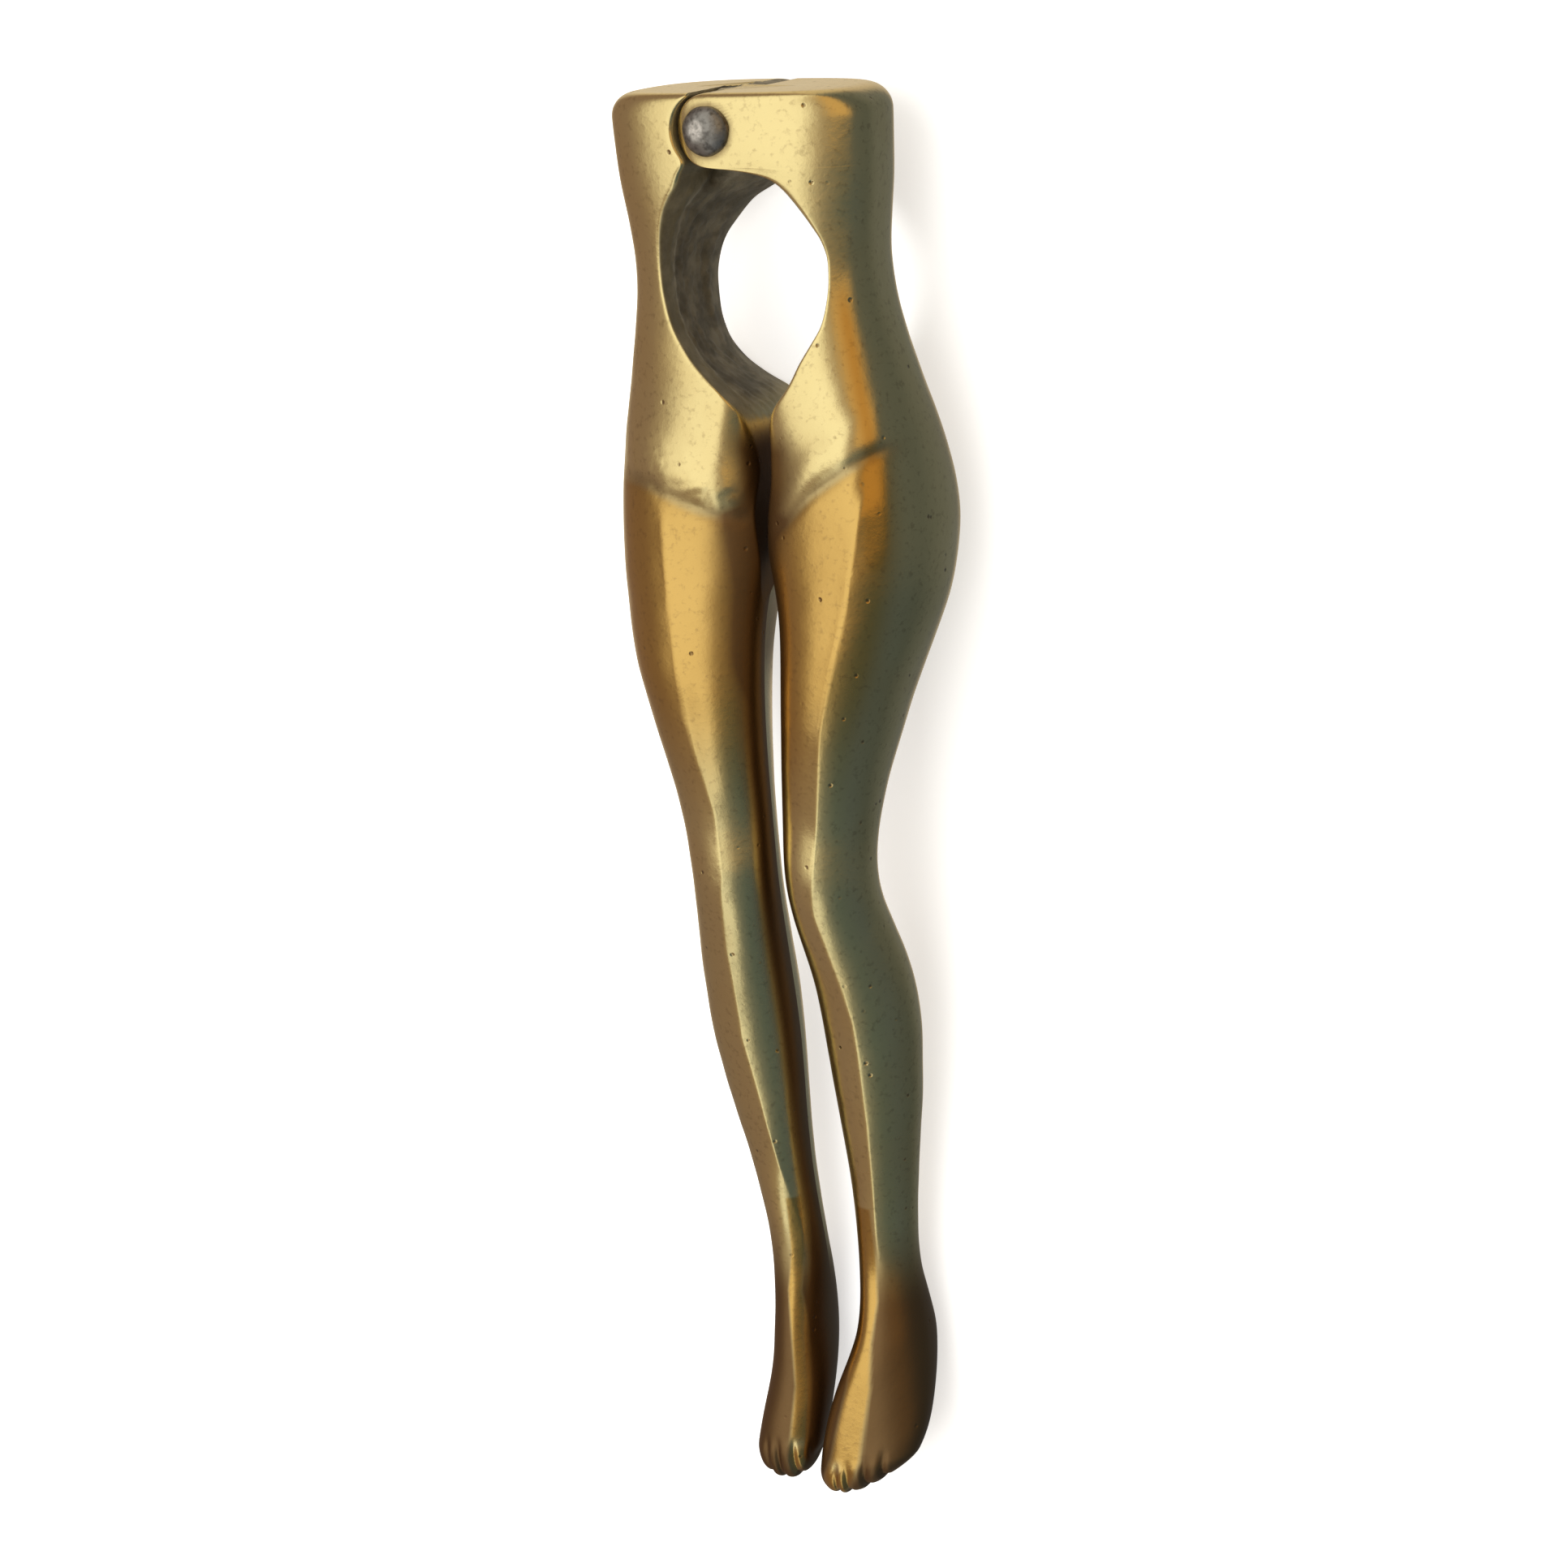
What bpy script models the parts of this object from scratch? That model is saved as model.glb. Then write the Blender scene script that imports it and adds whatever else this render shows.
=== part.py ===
"""A cast nutcracker shaped like a pair of legs: two levers, crossed and riveted at the waist.

It lies on its back, on the buttocks and heels: +X the figure's left, +Y towards the waist, +Z its front.
"""

import math
from collections import namedtuple

import bmesh
import bpy
import numpy as np

MM = 0.001

# Where the finished tool's centre lies in the numbers below.
CENTRE_X = 0.9
CENTRE_Y = 0.9

# The rivet joint at the waist.
RIVET_X = -0.7
RIVET_Y = 61.3
EAR_RADIUS = 3.1
EAR_SPLIT_Z = 11.0
EAR_BACK_Z = 3.5
EAR_FRONT_Z = 18.1
RUNNING_GAP = 0.25
SHANK_RADIUS = 1.45
HEAD_RADIUS = 2.1
HEAD_HEIGHT = 1.25
STRIKE_RADIUS = 1.9
STRIKE_HEIGHT = 0.7

# Profiles of the rivet's two ends, as shares of their radius and height.
HEAD_DOME = ((0.0, 1.0), (0.48, 0.96), (0.71, 0.86), (0.88, 0.62), (0.97, 0.34), (1.0, 0.12), (0.96, 0.0))
STRIKE_DOME = ((0.97, 0.0), (1.0, 0.2), (0.87, 0.6), (0.58, 0.95), (0.0, 1.0))

# The waist's flat top, and the heights between which the step beside the ears fades into the hollow's wall.
TOP_Y = 64.4
TOP_ROUNDING = 0.8
TOP_SIDE_HEIGHT = 2.2
TOP_SIDE_ROUNDING = 2.6
STEP_BEGINS_Y = 55.2
STEP_FULL_Y = 57.6

# Between these places the inner faces change from the hollow's edges to a narrow gap between the legs.
LEG_GAP_Y = 19.0
HOLLOW_EDGES_Y = 23.0
LEG_GAP_PLACES = (20, 26)
LEG_GAP_HALVES = (0.25, 0.35)

# The tips of the feet.
RIGHT_TIP_Y = -63.7
LEFT_TIP_Y = -62.1
TOE_ROUNDING = 3.4
TOE_SLANT_LENGTH = 14.0
RIGHT_TOE_SLANT = 0.46
LEFT_TOE_SLANT = 0.0

ROWS = 132
FINE_ROWS = 12001
STEEPEST = 20
OUTSIDE_POINTS = 26
INSIDE_POINTS = 11
MOST_ACROSS = 0.985

# The line where a lever's inner wall meets its front or its back. Above the place where it joins, the line is
# a circle round the rivet: its own ear's, or a wider one that clears the other's ear and ends in a shoulder.
InnerEdge = namedtuple("InnerEdge", "has_ear shoulder_x joins_y line")

RIGHT_FRONT_EDGE = InnerEdge(
    True,
    0.0,
    58.45,
    ((58.45, -1.93), (58.27, -1.2), (58.12, 0.3), (57.95, 1.8), (57.7, 3.2), (57.4, 4.25), (57.0, 5.0))
    + ((56.5, 5.6), (55.85, 6.24), (54.5, 7.22), (53.2, 8.0), (51.9, 8.65), (50.2, 9.0), (48.7, 8.98))
    + ((47.0, 8.8), (45.0, 8.35), (43.5, 7.5), (41.65, 6.3), (40.5, 5.68), (39.4, 4.9), (38.3, 3.9))
    + ((37.2, 3.2), (36.0, 2.95), (34.0, 2.9), (32.0, 2.85), (28.6, 2.2), (25.1, 1.75), (22.0, 1.4), (19.0, 1.2)),
)
RIGHT_BACK_EDGE = InnerEdge(
    False,
    1.1,
    59.5,
    ((59.5, 2.13), (58.8, 1.98), (57.8, 1.98), (56.8, 2.25), (56.0, 2.75), (55.2, 3.45), (54.3, 4.5))
    + ((52.7, 6.1), (51.0, 7.3), (49.5, 8.0), (47.5, 8.4), (44.8, 8.3), (42.5, 7.65), (40.4, 6.3))
    + ((38.9, 4.8), (37.4, 2.9), (36.5, 2.4), (35.0, 2.3), (32.0, 2.1), (28.0, 1.75), (24.0, 1.5), (19.0, 1.2)),
)
LEFT_FRONT_EDGE = InnerEdge(
    False,
    -2.5,
    59.2,
    ((59.2, -3.31), (58.8, -3.08), (58.5, -3.06), (58.2, -3.22), (57.83, -3.48), (57.3, -3.7), (56.85, -3.86))
    + ((56.4, -4.15), (55.87, -4.62), (54.4, -5.49), (52.8, -6.0), (51.2, -6.26), (49.6, -6.37), (48.1, -6.3))
    + ((46.5, -6.01), (44.9, -5.48), (43.2, -4.5), (41.65, -3.32), (40.3, -1.98), (39.0, -0.67), (38.3, 0.0))
    + ((37.5, 0.45), (35.45, 0.8), (32.0, 1.1), (28.6, 0.9), (25.1, 1.0), (22.0, 0.8), (19.0, 0.6)),
)
LEFT_BACK_EDGE = InnerEdge(
    True,
    0.0,
    59.6,
    ((59.6, 1.89), (58.6, 1.25), (57.5, 0.75), (56.6, 0.1), (55.9, -0.75), (55.34, -1.69), (54.33, -3.51))
    + ((52.7, -5.06), (51.0, -6.31), (49.55, -6.85), (47.5, -7.2), (44.8, -7.25), (42.5, -6.95), (40.4, -5.9))
    + ((38.9, -4.3), (37.4, -1.9), (36.3, -0.5), (35.0, -0.2), (32.0, 0.1), (28.0, 0.5), (24.0, 0.7), (19.0, 0.6)),
)

# One cross-section of a lever. The first column is its place along the tool, the second the sideways
# place of the middle plane. The next two are the distances of its inner and outer side from that plane.
# Then come the heights of its back and front, of the widest points of its outer and inner sides, and how far
# out its front and back crests lie.
# The last four are the fullness of its quarters, 2 for an ellipse and more for a squarer one.
Section = namedtuple(
    "Section",
    "y middle inner outer back front side inner_side front_crest back_crest"
    " front_inner front_outer back_outer back_inner",
)

RIGHT_SECTIONS = (
    Section(64.4, 0.0, -6.0, 12.4, 3.4, 18.15, 12.4, 12.4, 0.0, 0.0, 2.8, 2.8, 2.8, 2.8),
    Section(56.5, 0.2, -5.0, 11.9, 3.6, 18.1, 12.0, 12.0, 0.3, 0.3, 2.8, 2.8, 2.8, 2.8),
    Section(49.8, 0.4, -3.5, 11.1, 3.7, 17.5, 11.5, 11.5, 2.0, 1.0, 2.7, 2.8, 2.7, 2.6),
    Section(42.8, 0.7, -1.8, 12.0, 3.0, 17.6, 11.0, 11.2, 4.6, 2.4, 2.8, 2.5, 2.4, 2.4),
    Section(35.8, 1.0, -0.3, 13.7, 1.2, 18.1, 10.3, 11.8, 7.8, 4.6, 2.6, 2.3, 2.2, 2.1),
    Section(27.8, 1.2, -0.4, 14.5, 0.0, 18.6, 9.4, 13.6, 9.2, 7.0, 2.0, 2.2, 2.1, 1.9),
    Section(20.8, 1.0, 1.2, 14.0, 1.3, 19.0, 10.2, 14.8, 8.8, 7.1, 2.0, 2.0, 2.0, 1.6),
    Section(14.8, 0.5, 1.9, 12.6, 3.6, 19.2, 11.8, 15.2, 7.7, 7.1, 2.0, 2.0, 2.0, 1.6),
    Section(7.8, 0.2, 1.7, 10.6, 6.3, 18.6, 12.5, 14.8, 6.5, 6.0, 2.0, 2.0, 2.0, 1.8),
    Section(0.8, 0.0, 1.25, 9.1, 8.0, 17.5, 12.8, 14.0, 5.4, 5.0, 2.0, 2.0, 2.0, 1.9),
    Section(-4.2, 0.0, 1.2, 8.8, 8.2, 17.2, 12.7, 13.6, 4.9, 4.7, 2.0, 2.0, 2.0, 2.0),
    Section(-8.7, 0.0, 1.35, 9.3, 6.4, 15.8, 11.0, 12.0, 5.2, 5.1, 2.0, 1.9, 2.0, 2.0),
    Section(-13.2, 0.0, 1.65, 9.9, 4.4, 14.2, 9.2, 10.4, 5.9, 5.6, 1.9, 1.8, 2.0, 2.0),
    Section(-20.2, 0.0, 1.75, 9.8, 3.0, 12.2, 7.6, 8.6, 6.1, 5.6, 1.9, 1.8, 2.0, 2.0),
    Section(-28.2, 0.2, 2.0, 8.7, 2.8, 10.4, 6.6, 7.4, 5.6, 5.4, 1.9, 1.8, 2.0, 2.0),
    Section(-35.2, 0.4, 2.0, 7.5, 2.6, 8.9, 5.7, 6.2, 4.7, 4.7, 1.9, 1.9, 2.0, 2.0),
    Section(-42.2, 0.4, 1.9, 7.2, 1.4, 8.3, 4.9, 5.1, 4.2, 4.2, 2.0, 2.0, 2.0, 2.0),
    Section(-47.7, 0.0, 1.8, 8.4, 0.0, 9.2, 4.9, 4.9, 4.2, 4.6, 2.0, 2.0, 2.1, 2.1),
    Section(-52.7, -1.0, 1.0, 9.6, 0.9, 9.9, 5.6, 5.6, 3.8, 4.9, 2.1, 2.1, 2.1, 2.1),
    Section(-57.7, -1.6, 0.3, 10.0, 3.0, 10.2, 6.8, 6.8, 3.6, 4.8, 2.2, 2.2, 2.2, 2.2),
    Section(-63.5, -2.0, 0.3, 9.0, 5.6, 10.6, 8.2, 8.2, 3.6, 4.4, 2.2, 2.2, 2.2, 2.2),
)
LEFT_SECTIONS = (
    Section(64.4, 0.0, -6.0, 11.8, 3.4, 18.15, 12.4, 12.4, 0.0, 0.0, 2.8, 2.8, 2.8, 2.8),
    Section(56.5, 0.2, -5.0, 11.5, 3.6, 18.1, 12.0, 12.0, 0.3, 0.3, 2.8, 2.8, 2.8, 2.8),
    Section(49.8, 0.4, -3.5, 11.1, 3.7, 17.5, 11.5, 11.5, 1.0, 1.0, 2.7, 2.6, 2.7, 2.6),
    Section(42.8, 0.7, -1.8, 12.3, 3.0, 17.6, 11.0, 11.2, 1.8, 2.4, 2.8, 2.4, 2.4, 2.4),
    Section(35.8, 1.0, -0.3, 14.1, 1.2, 18.1, 10.3, 11.8, 3.6, 4.6, 2.8, 2.2, 2.2, 2.1),
    Section(27.8, 1.2, -0.4, 15.2, 0.0, 18.6, 9.4, 13.6, 6.6, 7.0, 2.3, 2.1, 2.1, 1.9),
    Section(20.8, 1.0, 0.3, 14.8, 1.3, 19.0, 10.2, 14.8, 7.1, 7.1, 2.2, 1.9, 2.0, 1.5),
    Section(14.8, 0.5, 0.3, 13.0, 3.6, 19.2, 11.8, 15.2, 6.3, 7.1, 2.2, 1.9, 2.0, 1.5),
    Section(7.8, 0.2, 0.3, 10.6, 6.3, 18.6, 12.5, 14.8, 5.1, 6.0, 2.2, 1.9, 2.0, 1.6),
    Section(0.8, 0.0, 0.3, 8.8, 8.0, 17.5, 12.8, 14.0, 4.1, 5.0, 2.1, 1.9, 2.0, 1.8),
    Section(-4.2, 0.0, 0.35, 8.3, 8.2, 17.2, 12.7, 13.6, 4.0, 4.6, 2.1, 1.9, 2.0, 2.0),
    Section(-8.7, 0.0, 0.8, 8.9, 6.4, 15.8, 11.0, 12.0, 4.5, 5.0, 2.1, 1.9, 2.0, 2.0),
    Section(-13.2, 0.0, 1.2, 9.7, 4.4, 14.2, 9.2, 10.4, 5.0, 5.5, 2.0, 1.8, 2.0, 2.0),
    Section(-20.2, 0.0, 1.5, 9.8, 3.0, 12.2, 7.6, 8.6, 5.0, 5.6, 2.0, 1.8, 2.0, 2.0),
    Section(-28.2, 0.2, 2.0, 8.7, 2.8, 10.4, 6.6, 7.4, 4.3, 5.4, 2.0, 1.8, 2.0, 2.0),
    Section(-35.2, 0.4, 2.2, 7.4, 2.6, 8.9, 5.7, 6.2, 4.7, 4.7, 1.9, 1.9, 2.0, 2.0),
    Section(-42.2, 0.4, 1.9, 6.9, 1.6, 8.3, 4.9, 5.1, 4.2, 4.2, 2.0, 2.0, 2.0, 2.0),
    Section(-47.7, 0.2, 1.9, 6.8, 0.0, 8.7, 4.7, 4.7, 4.0, 4.4, 2.0, 2.0, 2.1, 2.1),
    Section(-52.7, -0.9, 0.6, 6.1, 1.2, 9.2, 5.6, 5.6, 3.0, 3.4, 2.1, 2.1, 2.1, 2.1),
    Section(-57.7, -1.6, 0.3, 6.3, 3.0, 9.8, 6.8, 6.8, 3.0, 3.4, 2.2, 2.2, 2.2, 2.2),
    Section(-61.9, -2.0, 0.3, 6.2, 5.0, 10.0, 7.8, 7.8, 3.2, 3.6, 2.2, 2.2, 2.2, 2.2),
)


def smooth_curve(knots, values, at):
    """A natural cubic curve through the values at the rising knots, read at the places asked for."""
    steps = np.diff(knots)
    count = len(knots)
    matrix = np.eye(count)
    bends = np.zeros(count)
    for i in range(1, count - 1):
        matrix[i, i - 1 : i + 2] = steps[i - 1], 2 * (steps[i - 1] + steps[i]), steps[i]
        rise_after = (values[i + 1] - values[i]) / steps[i]
        rise_before = (values[i] - values[i - 1]) / steps[i - 1]
        bends[i] = 6 * (rise_after - rise_before)
    second = np.linalg.solve(matrix, bends)
    k = np.clip(np.searchsorted(knots, at) - 1, 0, count - 2)
    t = at - knots[k]
    step = steps[k]
    slope = (values[k + 1] - values[k]) / step
    slope = slope - step * (2 * second[k] + second[k + 1]) / 6
    return values[k] + t * slope + t**2 * second[k] / 2 + t**3 * (second[k + 1] - second[k]) / (6 * step)


def sections_at(sections, y):
    """The cross-section values at every place in y, as one Section of arrays."""
    table = np.array(sections[::-1])
    columns = [smooth_curve(table[:, 0], table[:, i], y) for i in range(1, table.shape[1])]
    return Section(y, *columns)


def steady_curve(points, at):
    """A curve through falling (place, value) pairs that never overshoots them, read at the places asked for."""
    knots, values = np.array(points[::-1]).T
    steps = np.diff(knots)
    rises = np.diff(values) / steps
    product = rises[:-1] * rises[1:]
    total = np.where(np.abs(rises[:-1] + rises[1:]) > 1e-9, rises[:-1] + rises[1:], 1.0)
    inner = np.where(product > 0, 2 * product / total, 0.0)
    slopes = np.concatenate([rises[:1], inner, rises[-1:]])
    k = np.clip(np.searchsorted(knots, at) - 1, 0, len(steps) - 1)
    step = steps[k]
    t = np.clip((at - knots[k]) / step, 0, 1)
    start = values[k] * (1 + 2 * t) * (1 - t) ** 2 + step * slopes[k] * t * (1 - t) ** 2
    end = values[k + 1] * t**2 * (3 - 2 * t) + step * slopes[k + 1] * t**2 * (t - 1)
    return start + end


def smooth_step(low, high, at):
    t = np.clip((at - low) / (high - low), 0, 1)
    return t * t * (3 - 2 * t)


def edge_places(edge, side, y):
    """Sideways place of an inner edge at every place in y."""
    line = steady_curve(edge.line, np.minimum(y, edge.joins_y))
    radius = EAR_RADIUS if edge.has_ear else EAR_RADIUS + RUNNING_GAP
    reach = np.sqrt(np.clip(radius**2 - (y - RIVET_Y) ** 2, 0, None))
    if edge.has_ear:
        round_rivet = RIVET_X - side * reach
    else:
        round_rivet = RIVET_X + side * reach
        outermost = side * np.maximum(side * round_rivet, side * edge.shoulder_x)
        round_rivet = np.where(y > RIVET_Y, outermost, round_rivet)
    return np.where(y > edge.joins_y, round_rivet, line)


def edge_angle(face, inner, outer, crest, fullness_in, fullness_out):
    """The angle round a section at which it meets the inner wall."""
    reach = np.where(face < crest, crest - inner, outer - crest)
    across = np.clip((face - crest) / reach, -MOST_ACROSS, MOST_ACROSS)
    fullness = np.where(face < crest, fullness_in, fullness_out)
    return np.arctan2((1 - np.abs(across) ** fullness) ** (1 / fullness), across)


def row_places(sections, side, front_edge, back_edge, tip):
    """Places of the rows along the lever, closer together where an edge runs across it."""
    fine = np.linspace(TOP_Y, tip + 0.004, FINE_ROWS)
    into_toe = np.clip((tip + TOE_ROUNDING - fine) / TOE_ROUNDING, 0, 1)
    into_top = np.clip(fine - TOP_Y + TOP_SIDE_HEIGHT, 0, None) / TOP_SIDE_HEIGHT
    half_width = sections_at(sections, fine).outer * 0.5 * np.sqrt(1 - into_toe**2)
    half_width -= TOP_SIDE_ROUNDING * (1 - np.sqrt(1 - into_top**2))
    curves = [edge_places(front_edge, side, fine), edge_places(back_edge, side, fine), half_width]
    slopes = np.max([np.abs(np.gradient(curve, fine)) for curve in curves], axis=0)
    crowding = np.sqrt(1 + np.clip(slopes, 0, STEEPEST) ** 2)
    along = np.concatenate([[0], np.cumsum((crowding[1:] + crowding[:-1]) / 2)])
    return np.interp(np.linspace(0, along[-1], ROWS), along, fine)


def lever_points(sections, side, front_edge, back_edge, tip, slant, step_z):
    """The lever as a grid of points in mm: a row per cross-section, waist first, a column per point round it."""
    y = row_places(sections, side, front_edge, back_edge, tip)
    s = sections_at(sections, y)

    # The top edge is rounded over, and the toes close like the end of an egg.
    inset = 1 - np.sqrt(1 - (np.clip(y - TOP_Y + TOP_ROUNDING, 0, None) / TOP_ROUNDING) ** 2)
    side_inset = 1 - np.sqrt(1 - (np.clip(y - TOP_Y + TOP_SIDE_HEIGHT, 0, None) / TOP_SIDE_HEIGHT) ** 2)
    shrink = np.sqrt(1 - np.clip((tip + TOE_ROUNDING - y) / TOE_ROUNDING, 0, 1) ** 2)
    centre_x = (s.inner + s.outer) / 2
    centre_z = (s.back + s.front) / 2
    inner = centre_x + (s.inner - centre_x) * shrink
    outer = centre_x + (s.outer - centre_x) * shrink - side_inset * TOP_SIDE_ROUNDING
    back = centre_z + (s.back - centre_z) * shrink + inset * TOP_ROUNDING
    front = centre_z + (s.front - centre_z) * shrink - inset * TOP_ROUNDING
    outer_z = centre_z + (s.side - centre_z) * shrink
    inner_z = centre_z + (s.inner_side - centre_z) * shrink
    front_crest = centre_x + (s.front_crest - centre_x) * shrink
    back_crest = centre_x + (s.back_crest - centre_x) * shrink

    # The inner edges' distances from the middle plane.
    leg_gap = np.interp(y, LEG_GAP_PLACES, LEG_GAP_HALVES)
    by_edge = smooth_step(LEG_GAP_Y, HOLLOW_EDGES_Y, y)
    front_face = leg_gap + (side * (edge_places(front_edge, side, y) - s.middle) - leg_gap) * by_edge
    back_face = leg_gap + (side * (edge_places(back_edge, side, y) - s.middle) - leg_gap) * by_edge

    def column(values):
        return values[:, None]

    # Outside: angles swept from the front edge, round the outer side, to the back edge.
    first = edge_angle(front_face, inner, outer, front_crest, s.front_inner, s.front_outer)
    last = -edge_angle(back_face, inner, outer, back_crest, s.back_inner, s.back_outer)
    angle = column(first) + column(last - first) * np.linspace(0, 1, OUTSIDE_POINTS)
    cosine = np.cos(angle)
    sine = np.sin(angle)
    is_front = sine >= 0
    is_inner = cosine < 0
    front_fullness = np.where(is_inner, column(s.front_inner), column(s.front_outer))
    back_fullness = np.where(is_inner, column(s.back_inner), column(s.back_outer))
    fullness = np.where(is_front, front_fullness, back_fullness)
    radius = (np.abs(cosine) ** fullness + np.abs(sine) ** fullness) ** (-1 / fullness)
    crest = np.where(is_front, column(front_crest), column(back_crest))
    across = np.where(is_inner, crest - column(inner), column(outer) - crest)
    widest_z = np.where(is_inner, column(inner_z), column(outer_z))
    height = np.where(is_front, column(front) - widest_z, widest_z - column(back))
    least = np.where(is_front, column(front_face), column(back_face))
    outside_from_middle = np.maximum(crest + across * cosine * radius, least)
    outside_z = widest_z + height * sine * radius

    # Inside, along the leg: heights from the back edge to the front edge, on its own curve or on the flat face.
    climb = np.linspace(0, 1, INSIDE_POINTS + 2)[1:-1]
    low_z = outside_z[:, -1:]
    high_z = outside_z[:, :1]
    plain_z = low_z + (high_z - low_z) * climb
    is_front = plain_z >= column(inner_z)
    height = np.where(is_front, column(front - inner_z), column(inner_z - back))
    fullness = np.where(is_front, column(s.front_inner), column(s.back_inner))
    crest = np.where(is_front, column(front_crest), column(back_crest))
    level = np.clip(np.abs(plain_z - column(inner_z)) / height, 0, 1)
    bulge = (1 - level**fullness) ** (1 / fullness)
    flat = column(back_face) + column(front_face - back_face) * climb
    plain_from_middle = np.maximum(crest - (crest - column(inner)) * bulge, flat)

    # Inside, at the waist: up the back half's wall, across the step beside the ear and up the front half's wall.
    part = climb * 3
    stepped_z = low_z + (step_z - low_z) * np.clip(part, 0, 1) + (high_z - step_z) * np.clip(part - 2, 0, 1)
    stepped_from_middle = column(back_face) + column(front_face - back_face) * np.clip(part - 1, 0, 1)
    stepping = column(smooth_step(STEP_BEGINS_Y, STEP_FULL_Y, y))
    inside_z = plain_z + (stepped_z - plain_z) * stepping
    inside_from_middle = plain_from_middle + (stepped_from_middle - plain_from_middle) * stepping

    from_middle = np.concatenate([outside_from_middle, inside_from_middle], axis=1)
    z = np.concatenate([outside_z, inside_z], axis=1)
    slanting = np.clip((tip + TOE_SLANT_LENGTH - y) / TOE_SLANT_LENGTH, 0, 1) ** 2 * slant
    lean = column(slanting) * (from_middle - 1.0)
    x = column(s.middle) + side * from_middle
    return np.stack([x, column(y) + lean, z], axis=-1)


def placed(x, y, z):
    """A point of the drawing, in mm, as a point of the finished tool, in metres."""
    return ((x - CENTRE_X) * MM, (y - CENTRE_Y) * MM, z * MM)


def new_object(name, mesh, collection):
    made = bpy.data.objects.new(name, mesh)
    collection.objects.link(made)
    return made


def lofted(name, points, collection):
    """A closed body through the grid's rows, capped flat at both ends, with its origin on the hinge's axis."""
    rows, columns = points.shape[:2]
    grid = np.arange(rows * columns).reshape(rows, columns)
    here = grid[:-1]
    below = grid[1:]
    quads = np.stack([here, np.roll(here, -1, 1), np.roll(below, -1, 1), below], axis=-1).reshape(-1, 4)
    top = grid[0][::-1]
    bottom = grid[-1]
    faces = [list(map(int, face)) for face in quads]
    faces.append(list(map(int, top)))
    faces.append(list(map(int, bottom)))
    mesh = bpy.data.meshes.new(name)
    corners = (points.reshape(-1, 3) - (RIVET_X, RIVET_Y, 0)) * MM
    mesh.from_pydata(corners.tolist(), [], faces)
    work = bmesh.new()
    work.from_mesh(mesh)
    bmesh.ops.recalc_face_normals(work, faces=work.faces)
    work.to_mesh(mesh)
    work.free()
    mesh.shade_smooth()
    made = new_object(name, mesh, collection)
    made.location = placed(RIVET_X, RIVET_Y, 0)
    return made


def post(name, x, y, low, high, radius, collection, sides=40):
    """A round post standing along Z between two heights."""
    mesh = bpy.data.meshes.new(name)
    work = bmesh.new()
    bmesh.ops.create_cone(
        work, cap_ends=True, segments=sides, radius1=radius * MM, radius2=radius * MM, depth=(high - low) * MM
    )
    bmesh.ops.translate(work, verts=work.verts, vec=placed(x, y, (low + high) / 2))
    work.to_mesh(mesh)
    work.free()
    return new_object(name, mesh, collection)


def material(name, colour, metallic, roughness):
    made = bpy.data.materials.new(name)
    made.use_nodes = True
    shader = made.node_tree.nodes["Principled BSDF"]
    shader.inputs["Base Color"].default_value = (*colour, 1)
    shader.inputs["Metallic"].default_value = metallic
    shader.inputs["Roughness"].default_value = roughness
    return made


def lever(name, side, sections, front_edge, back_edge, tip, slant, parts, cutters):
    """One lever: the leg and its half of the waist as one loft, with the rivet's bore through its ear."""
    half_gap = RUNNING_GAP / 2
    step_z = EAR_SPLIT_Z + half_gap if front_edge.has_ear else EAR_SPLIT_Z - half_gap
    points = lever_points(sections, side, front_edge, back_edge, tip, slant, step_z)
    body = lofted(name, points, parts)
    bore_radius = SHANK_RADIUS + RUNNING_GAP
    bore = post(name + "_bore", RIVET_X, RIVET_Y, EAR_BACK_Z - 3, EAR_FRONT_Z + 3, bore_radius, cutters)
    cut = body.modifiers.new("bore", "BOOLEAN")
    cut.operation = "DIFFERENCE"
    cut.solver = "EXACT"
    cut.object = bore
    return body


def rivet(parts):
    """The rivet: a domed head with a hammered flat in front, a shank, and a flatter struck end behind."""
    front = EAR_FRONT_Z + RUNNING_GAP
    back = EAR_BACK_Z - RUNNING_GAP
    dome = [(radius * HEAD_RADIUS, front + height * HEAD_HEIGHT) for radius, height in HEAD_DOME]
    profile = dome + [
        (SHANK_RADIUS, front),
        (SHANK_RADIUS, back),
    ]
    profile += [(radius * STRIKE_RADIUS, back - height * STRIKE_HEIGHT) for radius, height in STRIKE_DOME]
    mesh = bpy.data.meshes.new("rivet")
    vertices = [(r * MM, 0, z * MM) for r, z in profile]
    mesh.from_pydata(vertices, [(i, i + 1) for i in range(len(profile) - 1)], [])
    made = new_object("rivet", mesh, parts)
    made.location = placed(RIVET_X, RIVET_Y, 0)
    turned = made.modifiers.new("turned", "SCREW")
    turned.axis = "Z"
    turned.steps = 36
    turned.render_steps = 36
    turned.use_merge_vertices = True
    turned.merge_threshold = 0.00001
    turned.use_normal_calculate = True
    turned.use_normal_flip = False
    return made


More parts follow.
